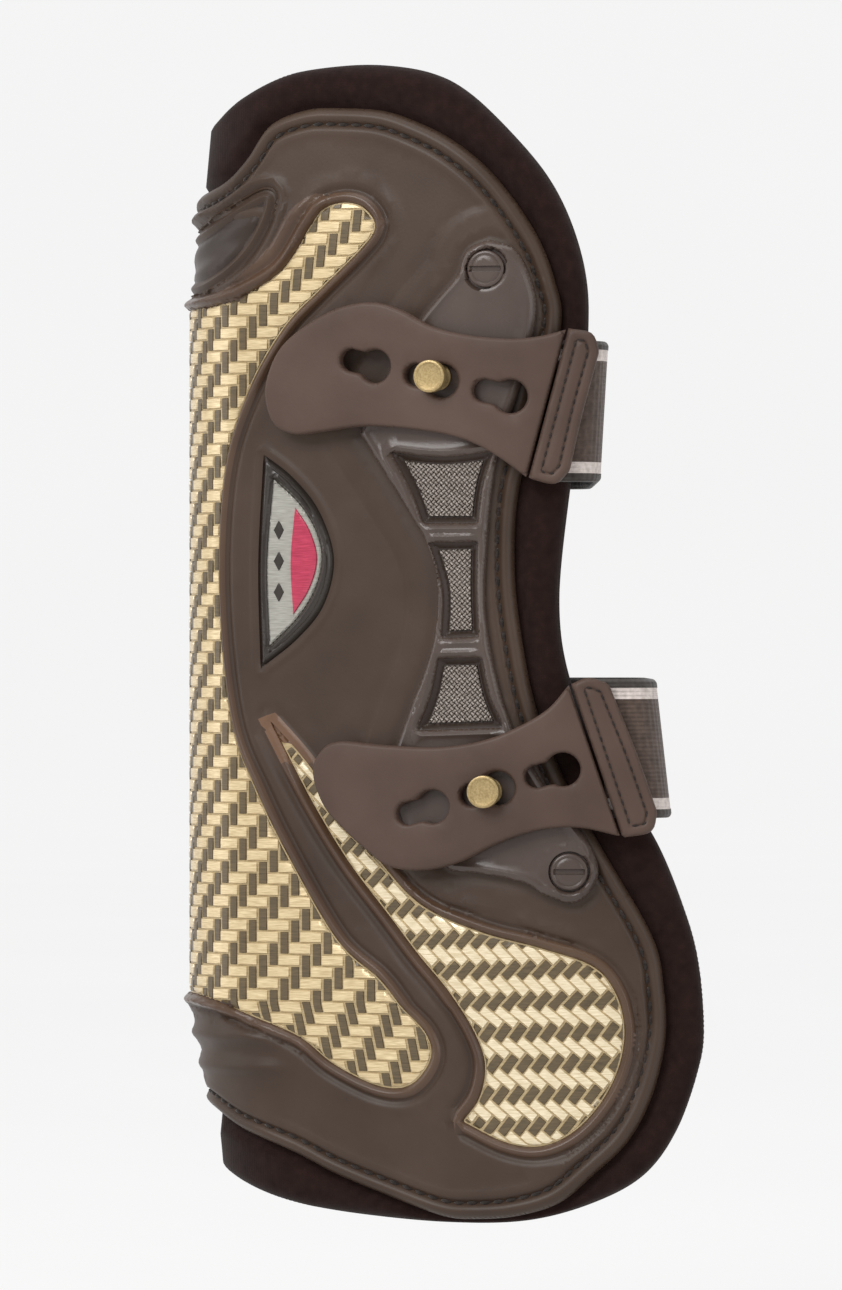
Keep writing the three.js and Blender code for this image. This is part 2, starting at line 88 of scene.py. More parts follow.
BRICK = 2.62  # width of one woven brick; it is twice as long
BRICK_BEVEL = 0.22
STITCH_PITCH = 3.1
KEYHOLE = {"narrow": 2.6, "wide": 3.8, "passage": 2.5}
RIBS = ((208, 0.5), (227.2, 0.8), (48.4, 1.0), (41.2, 1.1), (34.2, 0.9))  # (z, how far it stands out)
RIB_DIPS = (45, 37.6)
GUTTER = 1.55  # width of the low edge round each mesh window, painted dark as shade
THREAD_PITCH = 0.85
LEAF_TIP = 107.5  # above this height the leaf is smooth
LEAF_TURN = 44  # degrees that its bricks are turned by
LEAF_SCALE = 0.94

# distances out from the shell's outer face
SHELL_BACK = -2.4
LINER_FACE = -2.75
LINER_MIDDLE = -5.2
LINER_BACK = -7.7
GEL_POCKET = -5.5
INSET_FLOOR = -1.2  # the shell under the woven panels and the vent
INSERT_BACK = -0.95
PANEL_FLOOR = -0.42
CARRIER_BACK = 0.1
CARRIER_FACE = 2.3
TAB_BACK, TAB_THICKNESS = 3.4, 2.6
SEAM_BACK, SEAM_THICKNESS = 3.2, 3.0
ANCHOR_BACK, ANCHOR_THICKNESS = 5.3, 1.6

# the elastic: its middle's distance out on each wing, its bend at the front and its half thickness
ELASTIC_LATERAL, ELASTIC_MEDIAL = 1.9, 3.9
ELASTIC_CORNER = 9
ELASTIC_BULGE = (0.5, 0.4)
ELASTIC_HALF = 0.8

# ---- outlines: smooth runs that meet at corners ----------------------------------------------------

LINER_HALF = [
    (0, 246.5), (1.3, 246.8), (5, 249.8), (10.6, 254.2), (20.7, 258.4), (32.2, 260.1), (43, 260.1),
    (53.8, 258), (62.6, 253.2), (72.7, 243.8), (80.8, 234.3), (86.2, 224.2), (89.6, 212.7), (90.3, 201.2),
    (88.8, 183), (86.2, 165.9), (83.5, 139.6), (86.2, 121.3), (94.6, 103), (106, 86), (112.8, 70.2),
    (116, 58.5), (117.2, 44.6), (116, 35.3), (110.8, 21.4), (103.1, 11.3), (91.4, 5), (75.9, 0.8),
    (57.4, 0), (37.1, 1.4), (21.6, 3.8), (11.6, 6.8), (4, 10.8), (1.2, 11.9), (0, 12)]
SHELL_HALF = [
    (0, 231.6), (2.8, 232.3), (8.6, 235), (13.3, 239.8), (18.5, 247), (26.8, 250.2), (35, 250.4),
    (44.3, 249.5), (52.4, 246.5), (59.9, 242.4), (67.3, 236.4), (74.1, 228.3), (79.5, 219.5),
    (82.8, 210.7), (84.2, 201.9), (80.6, 184), (74.7, 165.2), (73.6, 146.3), (75.6, 128.8),
    (78.8, 114.6), (85, 99.5), (93, 84.9), (104.7, 64.8), (107.4, 53.1), (107.7, 41.4), (104.7, 29),
    (99.3, 18.9), (91.4, 11.3), (83.7, 5), (74.4, 2), (65.1, 1.1), (57.4, 1.6), (45, 5.9),
    (33.3, 10.5), (24.1, 15.1), (12.4, 19.8), (5, 24.5), (0, 26)]
TENDON_HALF = [
    (0, 206), (6.5, 206.6), (14, 209.3), (22.1, 214.7), (28.1, 224.2), (31, 227.8), (35.6, 229.1),
    (40, 227.8), (42.6, 223.4), (38.9, 218.1), (30.4, 209.8), (22.1, 201.2), (14, 187.1),
    (8.6, 169.3), (7.2, 142.3), (9.9, 113.2), (15.8, 96.6), (24.5, 79.2), (34.4, 62.8),
    (43.4, 54.7), (48.5, 48.4), (54, 42.5), (55, 36.9), (50.5, 31), (43.4, 30.6), (33.3, 35.3),
    (25.4, 41.4), (14, 46.1), (3.2, 50), (0, 50.5)]
TONGUE_BAND = [
    [(1, 203), (9.5, 205), (17.8, 209.5), (24, 217), (28, 223), (33.5, 229.2)],
    [(33.5, 229.2), (29.9, 231.6), (23.2, 227.6), (17.8, 218.6), (9.5, 210.9), (1, 207.6)],
    [(1, 207.6), (1, 203)]]
VENT_HALF = [
    (0, 223.6), (2, 224), (9.5, 228.5), (16.9, 232.3), (19.8, 231.2), (19.2, 226.5), (15.5, 219.3),
    (10.1, 213.6), (3.4, 209.6), (0, 209.2)]
LEAF = [
    [(19.1, 112.3), (22.6, 105.4), (28.8, 93.6), (36.7, 80.8), (45.9, 68.7), (52.5, 60), (59, 52.2),
     (64.6, 43.5), (67.2, 36), (66, 28.5), (62.2, 23)],
    [(62.2, 23), (71.4, 18.6), (79, 17.6), (86, 20.3), (92, 26), (96.6, 34), (98.4, 43),
     (96.6, 51.5), (91.4, 57.8), (80, 61.8), (66, 65.5), (52.7, 71.5), (43.2, 81.5), (35, 92),
     (27.2, 103.1), (19.1, 112.3)]]
BADGE = [
    [(17.6, 172.4), (24.1, 167.2), (30, 159.6), (33.3, 149), (31, 138.6), (25, 131), (16.9, 124.5)],
    [(16.9, 124.5), (16.4, 148), (17.6, 172.4)]]
PLATE = [
    [(19.6, 167), (25.4, 161.4), (29.2, 155.2), (30.5, 149), (29, 142.4), (25, 135.8), (18.7, 129.4)],
    [(18.7, 129.4), (18.1, 148), (19.6, 167)]]
CRESCENT = [
    [(24.6, 160.6), (27.8, 155.6), (29.6, 149.2), (28, 142.6), (24.2, 136.4)],
    [(24.2, 136.4), (23.6, 148.5), (24.6, 160.6)]]
FLEX_FRAME = [
    [(68.4, 220.2), (63.6, 217.9), (61.6, 212.4), (57.6, 207.6), (53.4, 202.4), (46.5, 191.5),
     (39.8, 177.2)],
    [(39.8, 177.2), (48, 164), (55.2, 151.5), (57.3, 139.6), (55.4, 127), (50.8, 114.5),
     (47.2, 102), (49.6, 88), (60.3, 79)],
    [(60.3, 79), (67.5, 78.3), (76.1, 76.5), (81.5, 73.4), (88, 72.2), (92.6, 78.4), (89.6, 87.1),
     (80.8, 98), (73.4, 111.9), (69.6, 124.7), (67.6, 138), (68, 151.7), (70.2, 170.6), (75.6, 188),
     (78.9, 203.3), (77.8, 211), (74.2, 218), (68.4, 220.2)]]
WINDOWS = {
    "upper": [[(47, 172.7), (58, 171.6), (69.3, 172.7)], [(69.3, 172.7), (67, 165), (66, 156.9)],
              [(66, 156.9), (54, 156.9)], [(54, 156.9), (51.5, 164), (47, 172.7)]],
    "middle": [[(55.4, 152.4), (66, 152.6)], [(66, 152.6), (65.8, 142), (66.2, 131.5)],
               [(66.2, 131.5), (58.1, 131.2)], [(58.1, 131.2), (58.3, 142), (55.4, 152.4)]],
    "lower": [[(57.4, 126.5), (66.9, 126.7)], [(66.9, 126.7), (68.6, 118.5), (71.6, 111.2)],
              [(71.6, 111.2), (52.7, 110.5)], [(52.7, 110.5), (55.6, 118), (57.4, 126.5)]]}
PLUGS = {"upper": (67.9, 213.6), "lower": (86.2, 79)}
STRAPS = {
    "upper": {
        "tab": [[(85.6, 199.8), (79.5, 198.3), (72.7, 197.9), (63.3, 199), (56.4, 201), (50.4, 204.4),
                 (44, 206.3), (36.5, 205.2), (29.4, 201.6), (23.8, 197), (20.8, 191.5),
                 (19.8, 185.5), (21.8, 179.2), (26.4, 176.9), (32.2, 177.4), (43, 178.6),
                 (55.8, 177.4), (64, 175.4), (70.5, 172), (77.2, 167)],
                [(77.2, 167), (85.6, 199.8)]],
        "plate": [[(86.2, 200.1), (91.2, 199), (92.8, 195)], [(92.8, 195), (89.3, 181.6), (86.4, 168.4)],
                  [(86.4, 168.4), (83.2, 165.5), (77.7, 166.7)], [(77.7, 166.7), (86.2, 200.1)]],
        "keyholes": [((39.2, 193.4), (44.6, 192)), ((53.6, 189.9), (59.2, 188.6)),
                     ((68.2, 186.3), (73.8, 185))],
        "stud": (57.7, 189.5),
        "front": 93.2, "lean": 0.0575, "start": 83, "end": 60,
        "anchor": (58.5, 167.6, 77, 195.9)},
    "lower": {
        "tab": [[(86.2, 120.6), (81.6, 115.2), (74.7, 111), (67.5, 108.2), (58, 106.8), (46, 107.2),
                 (36.4, 108), (32.4, 105.8), (30.6, 101), (33, 93.6), (38.2, 87.6), (43.2, 83.2),
                 (47.5, 80.1), (54.7, 79.2), (62.5, 81), (71.1, 85.4), (80, 88.4), (88.5, 88.9),
                 (97.2, 87)],
                [(97.2, 87), (86.2, 120.6)]],
        "plate": [[(86.8, 120.9), (90.4, 122.4), (94.8, 121)], [(94.8, 121), (100.6, 106), (105.2, 92.4)],
                  [(105.2, 92.4), (103.8, 88), (97.8, 86.7)], [(97.8, 86.7), (86.8, 120.9)]],
        "keyholes": [((51.8, 91.9), (57.2, 93.5)), ((65.6, 96.1), (71.1, 97.7)),
                     ((79.4, 100.3), (85, 101.9))],
        "stud": (68.8, 96.9),
        "front": 106.5, "lean": -0.112, "start": 93, "end": 66,
        "anchor": (64.5, 92.8, 83.5, 120.2)}}

LATERAL, MEDIAL = -1, 1
SIDES = {"lateral": LATERAL, "medial": MEDIAL}

# ---- the boot's outer face -------------------------------------------------------------------------

BACK_END = BACK_RADIUS * (1 - math.sin(WING_ANGLE))
BACK_ARC = BACK_RADIUS * (math.pi / 2 - WING_ANGLE)
STRAIGHT_ARC = BACK_ARC + (WING_STRAIGHT_END - BACK_END) / math.cos(WING_ANGLE)


def lean(z):
    low, high = BACK_STRAIGHT
    bottom = BOTTOM_LEAN * np.clip((low - z) / low, 0, 1) ** 0.9
    top = TOP_LEAN * (np.clip(z - high, 0, None) / (2 * MIDDLE_HEIGHT - high)) ** 1.2
    return bottom + top


def flare(z):
    return 1 + FLARE * ((z - MIDDLE_HEIGHT) / MIDDLE_HEIGHT) ** 2


def around(x):
    """Distance round the section from the back, for x from the back."""
    x = np.asarray(x, float)
    back = BACK_RADIUS * (np.pi / 2 - np.arcsin(np.clip(1 - x / BACK_RADIUS, -1, 1)))
    straight = BACK_ARC + (x - BACK_END) / math.cos(WING_ANGLE)
    sine = np.clip(math.sin(WING_ANGLE) - (x - WING_STRAIGHT_END) / EDGE_RADIUS, -1, 1)
    edge = STRAIGHT_ARC + EDGE_RADIUS * (WING_ANGLE - np.arcsin(sine))
    return np.where(x < BACK_END, back, np.where(x < WING_STRAIGHT_END, straight, edge))


def section(s):
    """(x, half width, heading) at distance s >= 0 round the section."""
    s = np.asarray(s, float)
    turn = np.pi / 2 - s / BACK_RADIUS
    along = (s - BACK_ARC)
    edge = WING_ANGLE - (s - STRAIGHT_ARC) / EDGE_RADIUS
    back = s < BACK_ARC
    straight = s < STRAIGHT_ARC
    heading = np.where(back, turn, np.where(straight, WING_ANGLE, edge))
    x = np.where(back, BACK_RADIUS * (1 - np.sin(turn)),
                 np.where(straight, BACK_END + along * math.cos(WING_ANGLE),
                          WING_STRAIGHT_END + EDGE_RADIUS * (math.sin(WING_ANGLE) - np.sin(edge))))
    width = BACK_RADIUS * math.cos(WING_ANGLE)
    full = width + (STRAIGHT_ARC - BACK_ARC) * math.sin(WING_ANGLE)
    y = np.where(back, BACK_RADIUS * np.cos(turn),
                 np.where(straight, width + along * math.sin(WING_ANGLE),
                          full + EDGE_RADIUS * (np.cos(edge) - math.cos(WING_ANGLE))))
    return x, y, heading


def lift(s, z, d):
    """Points (metres, shared frame) at (s, z) on the flat layout, d outside the shell's outer face."""
    s, z, d = (np.asarray(v, float) for v in np.broadcast_arrays(s, z, d))
    side = np.where(s < 0, -1.0, 1.0)
    x, y, heading = section(np.abs(s))
    px = x - d * np.sin(heading) + lean(z) + BACK_X
    py = side * (y + d * np.cos(heading)) * flare(z)
    return np.stack([px, py, z], axis=-1) * MM


def flat(points, side):
    """Side-view points (x, z) as points (s, z) of the flat layout."""
    points = np.asarray(points, float)
    s = around(np.clip(points[:, 0] - lean(points[:, 1]), 0, None))
    return np.stack([side * s, points[:, 1]], axis=1)


# ---- outlines ------------------------------------------------------------------------------------

def spline(points):
    """A Catmull-Rom curve through the points, in pieces about 1 mm long."""
    p = np.asarray(points, float)
    if len(p) == 2:
        count = max(1, int(np.linalg.norm(p[1] - p[0])))
        t = np.linspace(0, 1, count, endpoint=False)[:, None]
        return p[0] + (p[1] - p[0]) * t
    ends = np.vstack([2 * p[0] - p[1], p, 2 * p[-1] - p[-2]])
    found = []
    for a, b, c, d in zip(ends, ends[1:], ends[2:], ends[3:]):
        count = max(1, int(np.linalg.norm(c - b)))
        t = np.linspace(0, 1, count, endpoint=False)[:, None]
        found.append(0.5 * (2 * b + (c - a) * t + (2 * a - 5 * b + 4 * c - d) * t ** 2
                            + (3 * b - a - 3 * c + d) * t ** 3))
    return np.vstack(found)


def lengths(path):
    """How far along the path each of its points is."""
    return np.concatenate([[0], np.cumsum(np.linalg.norm(np.diff(path, axis=0), axis=1))])


def places(path, at):
    """The points at the distances at along the path."""
    length = lengths(path)
    return np.stack([np.interp(at, length, path[:, k]) for k in (0, 1)], axis=-1)


def resample(loop, step):
    """The closed loop as evenly spaced points."""
    closed = np.vstack([loop, loop[:1]])
    total = lengths(closed)[-1]
    return places(closed, np.linspace(0, total, max(8, int(total / step)), endpoint=False))


def closed_loop(runs, side):
    """A one-wing outline on the flat layout."""
    return flat(np.vstack([spline(run) for run in runs]), side)


def wrapped_loop(half):
    """An outline that runs round the back, from its half in side view."""
    curve = np.vstack([spline(half), [half[-1]]])
    return np.vstack([flat(curve, MEDIAL), flat(curve, LATERAL)[-2:0:-1]])


def offset_loops(loop, offset, step):
    """The evenly resampled loop moved by offset to either side of itself."""
    even = resample(loop, step)
    ahead = np.roll(even, -1, 0) - np.roll(even, 1, 0)
    ahead /= np.maximum(np.linalg.norm(ahead, axis=1, keepdims=True), 1e-9)
    normal = np.stack([ahead[:, 1], -ahead[:, 0]], axis=1)
    return [even + sign * offset * normal for sign in (-1, 1)]


def circle(x, z, radius, side, count, turn=(0, 2 * math.pi)):
    """A round hole's edge, or the part of it between two angles, on the flat layout."""
    angles = np.linspace(*turn, count, endpoint=turn[1] - turn[0] < 2 * math.pi - 0.01)
    heading = float(section(abs(float(around(x))))[2])
    ring = np.stack([x + radius * np.cos(angles) * math.cos(heading), z + radius * np.sin(angles)], axis=1)
    return flat(ring, side)


def keyhole(narrow, wide, side):
    """A round hole run into a narrower one, as a loop on the flat layout."""
    (x0, z0), (x1, z1) = narrow, wide
    r0, r1 = KEYHOLE["narrow"], KEYHOLE["wide"]
    turn = math.atan2(z1 - z0, x1 - x0)
    a0, a1 = (math.asin(KEYHOLE["passage"] / r) for r in (r0, r1))
    back = circle(x0, z0, r0, side, 12, (turn + a0, turn + 2 * math.pi - a0))
    front = circle(x1, z1, r1, side, 18, (turn + math.pi + a1, turn + 3 * math.pi - a1))
    return np.vstack([back, front])


def rounded(x0, z0, x1, z1):
    """A rectangle with rounded corners, in side view."""
    radius = 3
    corners = [(x1 - radius, z1 - radius, 0), (x0 + radius, z1 - radius, 1),
               (x0 + radius, z0 + radius, 2), (x1 - radius, z0 + radius, 3)]
    points = []
    for cx, cz, quarter in corners:
        for k in range(6):
            angle = (quarter + k / 5) * math.pi / 2
            points.append((cx + radius * math.cos(angle), cz + radius * math.sin(angle)))
    return points


def edge_distance(points, loops):
    """Distance from each point to the nearest loop."""
    best = np.full(len(points), np.inf)
    for loop in loops:
        dense = resample(loop, 0.25)
        tree = kdtree.KDTree(len(dense))
        for i, (s, z) in enumerate(dense):
            tree.insert((s, z, 0), i)
        tree.balance()
        near = np.array([tree.find((s, z, 0))[1] for s, z in points], int)
        for first in (near - 1, near):
            start, end = dense[first % len(dense)], dense[(first + 1) % len(dense)]
            span = end - start
            t = np.clip(((points - start) * span).sum(1) / np.maximum((span ** 2).sum(1), 1e-12), 0, 1)
            best = np.minimum(best, np.linalg.norm(points - start - t[:, None] * span, axis=1))
    return best


def inside(points, loops):
    """True where a point is inside an odd number of loops."""
    odd = np.zeros(len(points), bool)
    for loop in loops:
        a, b = loop, np.roll(loop, -1, axis=0)
        for start in range(0, len(points), 4000):
            p = points[start:start + 4000]
            x, y = p[:, :1], p[:, 1:]
            crosses = (a[:, 1] > y) != (b[:, 1] > y)
            rise = np.where(np.abs(b[:, 1] - a[:, 1]) < 1e-12, 1e-12, b[:, 1] - a[:, 1])
            at = a[:, 0] + (y - a[:, 1]) * (b[:, 0] - a[:, 0]) / rise
            odd[start:start + 4000] ^= (crosses & (x < at)).sum(1) % 2 == 1
    return odd


def signed(points, loop):
    """Distance to the loop, negative inside it."""
    gap = edge_distance(points, [loop])
    return np.where(inside(points, [loop]), -gap, gap)


def smooth(t):
    t = np.clip(t, 0, 1)
    return t * t * (3 - 2 * t)


def bump(x, centre, width):
    """A rounded ridge of height 1."""
    return np.cos(np.clip((x - centre) / width, -1, 1) * math.pi / 2) ** 2


def rounding(gap, radius):
    """How far a rounded edge has dropped: 1 at the edge, 0 where gap reaches the radius."""
    return 1 - np.sqrt(1 - (1 - np.clip(gap / radius, 0, 1)) ** 2)


# ---- meshes --------------------------------------------------------------------------------------

def make_object(name, verts, faces, uvs=None, face_slots=None, materials=(), sharp=35):
    mesh = bpy.data.meshes.new(name)
    mesh.from_pydata([tuple(v) for v in verts], [], [tuple(f) for f in faces])
    if uvs is not None:
        layer = mesh.uv_layers.new(name="UVMap")
        corner = np.empty(len(mesh.loops), np.int32)
        mesh.loops.foreach_get("vertex_index", corner)
        layer.data.foreach_set("uv", np.asarray(uvs, np.float32)[corner].ravel())
    for material in materials:
        mesh.materials.append(material)
    if face_slots is not None:
        mesh.polygons.foreach_set("material_index", np.asarray(face_slots, np.int32))
    mesh.validate()
    mesh.shade_smooth()
    mesh.set_sharp_from_angle(angle=math.radians(sharp))
    piece = bpy.data.objects.new(name, mesh)
    bpy.context.scene.collection.objects.link(piece)
    return piece


def ring_points(loops, offsets, step):
    """Points at set distances inside the region's edges, so that a relief's ridges stay crisp."""
    found = [np.zeros((0, 2))]
    for loop in loops:
        for offset in offsets:
            for moved in offset_loops(loop, offset, step):
                found.append(moved[edge_distance(moved, [loop]) > 0.93 * offset])
    return np.vstack(found)


def triangulate(loops, extra, spacing, clear):
    """Triangles over the region inside the loops, with extra points and an even fill."""
    border = [resample(loop, min(spacing, 1.0)) for loop in loops]
    low, high = border[0].min(0), border[0].max(0)
    grid = []
    for i, z in enumerate(np.arange(low[1], high[1], spacing * 0.866)):
        row = np.arange(low[0] + (i % 2) * spacing / 2, high[0], spacing)
        grid.append(np.stack([row, np.full(len(row), z)], axis=1))
    grid = np.vstack(grid)
    grid = grid[inside(grid, loops)]
    grid = grid[edge_distance(grid, loops) > clear]
    if len(extra):
        extra = extra[inside(extra, loops)]
        extra = extra[edge_distance(extra, loops) > 0.08]
        keys = np.unique(np.round(extra / 0.12).astype(int), axis=0, return_index=True)[1]
        extra = extra[np.sort(keys)]
        cells = {tuple(c) for c in np.round(extra / spacing).astype(int)}
        keep = [tuple(c) not in cells for c in np.round(grid / spacing).astype(int)]
        grid = grid[np.array(keep, bool)]
    points = np.vstack([*border, extra, grid])
    edges, start = [], 0
    for loop in border:
        n = len(loop)
        edges += [(start + i, start + (i + 1) % n) for i in range(n)]
        start += n
    out = geometry.delaunay_2d_cdt([Vector(p) for p in points], edges, [], 0, 1e-5)
    flat_points = np.array([tuple(v) for v in out[0]])
    faces = np.array([tuple(f) for f in out[2] if len(f) == 3])
    centres = flat_points[faces].mean(1)
    faces = faces[inside(centres, border)]
    area = np.cross(flat_points[faces[:, 1]] - flat_points[faces[:, 0]],
                    flat_points[faces[:, 2]] - flat_points[faces[:, 0]])
    faces = np.where(area[:, None] < 0, faces[:, ::-1], faces)
    return flat_points, faces[np.abs(area) > 1e-6], border


def sheet_piece(name, loops, top, back, materials, spacing=2.0, rings=(), extra=None, clear=None,
                paint=None, sharp=35):
    """A closed sheet: a relief on the outside, walls at its edges, and a plain inner face.

    top(points, gap) gives the outer offset, back is the inner one (a number or a function), and
    paint(points) picks a material slot for each outer triangle from its centre."""
    more = ring_points(loops, rings, min(spacing, 1.2))
    if extra is not None:
        more = np.vstack([more, extra])
    clear = clear or max(rings, default=0) + spacing * 0.5
    points, faces, border = triangulate(loops, more, spacing, clear)
    used = np.unique(faces)
    remap = np.full(len(points), -1)
    remap[used] = np.arange(len(used))
    points, faces = points[used], remap[faces]
    gap = edge_distance(points, border)
    outer = top(points, gap)
    inner = back(points, gap) if callable(back) else np.full(len(points), float(back))
    n = len(points)
    verts = np.vstack([lift(points[:, 0], points[:, 1], d) for d in (outer, inner)])
    sides = dict.fromkeys((f[k], f[(k + 1) % 3]) for f in faces for k in range(3))
    walls = [(b + n, a + n, a, b) for (a, b) in sides if (b, a) not in sides]
    # on the layout s grows towards the medial side, so counter-clockwise triangles face inwards
    shown = [tuple(f[::-1]) for f in faces]
    hidden = [tuple(f + n) for f in faces]
    slots = None
    if paint is not None:
        slots = list(paint(points[faces].mean(1))) + [0] * (len(hidden) + len(walls))
    uvs = np.vstack([points, points]) * MM * 5
    return make_object(name, verts, shown + hidden + walls, uvs, slots, materials, sharp)


def crowned(thickness, radius, base):
    """A relief that is flat on top, with edges rounded over radius."""
    return lambda _points, gap: base + thickness - radius * rounding(gap, radius)


def join(name, parts, materials, sharp=35):
    """One object from (verts, faces, slot) parts."""
    verts, faces, slots = [], [], []
    for part_verts, part_faces, slot in parts:
        start = len(verts)
        verts += [tuple(v) for v in part_verts]
        faces += [tuple(i + start for i in f) for f in part_faces]
        slots += [slot] * len(part_faces)
    return make_object(name, verts, faces, None, slots, materials, sharp)


def frame_at(s, z):
    """A matrix on the shell's outer face, whose Z points out of it and whose X runs forward along it."""
    here = Vector(lift(s, z, 0))
    out = (Vector(lift(s, z, 1)) - here).normalized()
    ahead = (Vector(lift(s + (-1 if s < 0 else 1), z, 0)) - here).normalized()
    up = out.cross(ahead)
    return Matrix(((ahead.x, up.x, out.x, here.x), (ahead.y, up.y, out.y, here.y),
                   (ahead.z, up.z, out.z, here.z), (0, 0, 0, 1)))


def tube_faces(rings, sides):
    """Quads between rings of points that follow each other, closed at both ends."""
    faces = []
    for i in range(rings - 1):
        for k in range(sides):
            a, b = i * sides + k, i * sides + (k + 1) % sides
            faces.append((a, b, b + sides, a + sides))
    return [*faces, tuple(range(sides))[::-1], tuple(range((rings - 1) * sides, rings * sides))]


def turned(name, profile, at, materials):
    """A turned piece; the profile is [(radius, height)] in mm from the axis at the bottom to the top."""
    sides = 48
    verts = []
    for r, h in profile:
        for k in range(sides):
            angle = 2 * math.pi * k / sides
            verts.append(at @ Vector((r * MM * math.cos(angle), r * MM * math.sin(angle), h * MM)))
    return make_object(name, verts, tube_faces(len(profile), sides), None, None, materials, 30)


def stitch_mesh(centre, along, out, length, radius):
    """One thread loop: a short rounded bar that dips at both ends."""
    across = out.cross(along)
    verts = []
    steps, sides = 6, 6
    for i in range(steps + 1):
        t = i / steps
        size = radius * (0.35 + 0.65 * math.sin(math.pi * t) ** 0.5)
        mid = centre + along * (t - 0.5) * length + out * (radius * (1.3 * math.sin(math.pi * t) - 0.7))
        for k in range(sides):
            angle = 2 * math.pi * k / sides
            verts.append(mid + across * size * math.cos(angle) + out * size * math.sin(angle))
    return verts, tube_faces(steps + 1, sides)


def stitches(name, loop, d, material, pitch=STITCH_PITCH, radius=0.38):
    """Thread round a loop on the flat layout, at offset d."""
    path = np.vstack([loop, loop[:1]])
    total = lengths(path)[-1]
    count = int(total / pitch)
    middles = (np.arange(count) + 0.5) * total / count
    parts = []
    for here, ahead in zip(places(path, middles), places(path, np.minimum(middles + 0.5, total))):
        along = (Vector(lift(*ahead, d)) - Vector(lift(*here, d))).normalized()
        out = (Vector(lift(*here, d + 1)) - Vector(lift(*here, d))).normalized()
        parts.append((*stitch_mesh(Vector(lift(*here, d)), along, out, 0.82 * pitch * MM, radius * MM), 0))
    return join(name, parts, [material], 60)


def inset_loop(loop, offset, step=1.0):
    """The loop moved inwards by offset."""
    found = [moved[inside(moved, [loop]) & (edge_distance(moved, [loop]) > 0.94 * offset)]
             for moved in offset_loops(loop, offset, step)]
    return max(found, key=len)


def settle(piece, body, slot_name, *nodes):
    """Puts a piece on a body and hides the nodes that it stands for; slot_name is not used."""
    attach(piece, body)
    if nodes:
        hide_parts(*nodes)
    return piece


# ---- materials -----------------------------------------------------------------------------------

class Nodes:
    """A new material with a Principled shader, and short ways to add what drives it."""

    def __init__(self, name, roughness=0.5, metallic=0.0, coat=0.0, sheen=0.0, specular=0.5):
        self.material = bpy.data.materials.new(name)
        self.material.use_nodes = True
        self.tree = self.material.node_tree
        self.shader = self.tree.nodes["Principled BSDF"]
        self.shader.inputs["Roughness"].default_value = roughness
        self.shader.inputs["Metallic"].default_value = metallic
        self.shader.inputs["Coat Weight"].default_value = coat
        self.shader.inputs["Sheen Weight"].default_value = sheen
        self.shader.inputs["Specular IOR Level"].default_value = specular
        self.place = self.tree.nodes.new("ShaderNodeTexCoord").outputs["Object"]

    def node(self, kind, **values):
        made = self.tree.nodes.new("ShaderNode" + kind)
        for key, value in values.items():
            if key in made.inputs:
                made.inputs[key].default_value = value
            else:
                setattr(made, key, value)
        return made

    def link(self, out, to):
        self.tree.links.new(out, to)

    def noise(self, scale, detail=4.0, stretch=None):
        made = self.node("TexNoise", Scale=scale, Detail=detail)
        if stretch:
            mapping = self.node("Mapping", Scale=stretch)
            self.link(self.place, mapping.inputs["Vector"])
            self.link(mapping.outputs["Vector"], made.inputs["Vector"])
        else:
            self.link(self.place, made.inputs["Vector"])
        return made.outputs["Fac"]

    def pebbles(self, scale):
        made = self.node("TexVoronoi", Scale=scale, feature="SMOOTH_F1", Smoothness=0.6)
        self.link(self.place, made.inputs["Vector"])
        return made.outputs["Distance"]

    def waves(self, scale, direction, distortion=0.0):
        made = self.node("TexWave", Scale=scale, Distortion=distortion, bands_direction=direction)
        self.link(self.place, made.inputs["Vector"])
        return made.outputs["Fac"]

    def colours(self, value, *stops):
        ramp = self.node("ValToRGB")
        elements = ramp.color_ramp.elements
        while len(elements) < len(stops):
            elements.new(0.5)
        for element, (at, colour) in zip(elements, stops):
            element.position = at
            element.color = (*colour, 1)
        self.link(value, ramp.inputs["Fac"])
        self.link(ramp.outputs["Color"], self.shader.inputs["Base Color"])

    def roughness(self, value, low, high):
        spread = self.node("MapRange")
        spread.inputs["To Min"].default_value = low
        spread.inputs["To Max"].default_value = high
        self.link(value, spread.inputs["Value"])
        self.link(spread.outputs["Result"], self.shader.inputs["Roughness"])

    def bumps(self, *layers):
        """Each layer is (value, strength, depth in metres)."""
        normal = None
        for value, strength, depth in layers:
            made = self.node("Bump", Strength=strength, Distance=depth)
            self.link(value, made.inputs["Height"])
            if normal:
                self.link(normal, made.inputs["Normal"])
            normal = made.outputs["Normal"]
        self.link(normal, self.shader.inputs["Normal"])


def moulded(name, dark, mid, light, low=0.36, high=0.56, coat=0.06, grain=1500):
    """Moulded plastic with a fine pebbled grain, cloudy colour and slightly uneven gloss."""
    n = Nodes(name, coat=coat, specular=0.28)
    n.shader.inputs["Coat Roughness"].default_value = 0.35
    n.colours(n.noise(38, 6), (0.3, dark), (0.5, mid), (0.72, light))
    n.roughness(n.noise(130, 5), low, high)
    n.bumps((n.pebbles(grain), 0.22, 0.00006), (n.noise(90, 3), 0.12, 0.0004))
    return n.material


def knit(name, dark, light):
    """Knit-faced neoprene: fine ribs crossed by loops, with a soft sheen."""
    n = Nodes(name, roughness=0.9, sheen=0.06, specular=0.1)
    n.shader.inputs["Sheen Roughness"].default_value = 0.5
    n.colours(n.noise(420, 6), (0.3, dark), (0.7, light))
    n.bumps((n.waves(900, "Z", 2.5), 0.25, 0.00012), (n.waves(760, "X", 2.5), 0.2, 0.00012),
            (n.noise(1600, 3), 0.4, 0.00012))
    return n.material


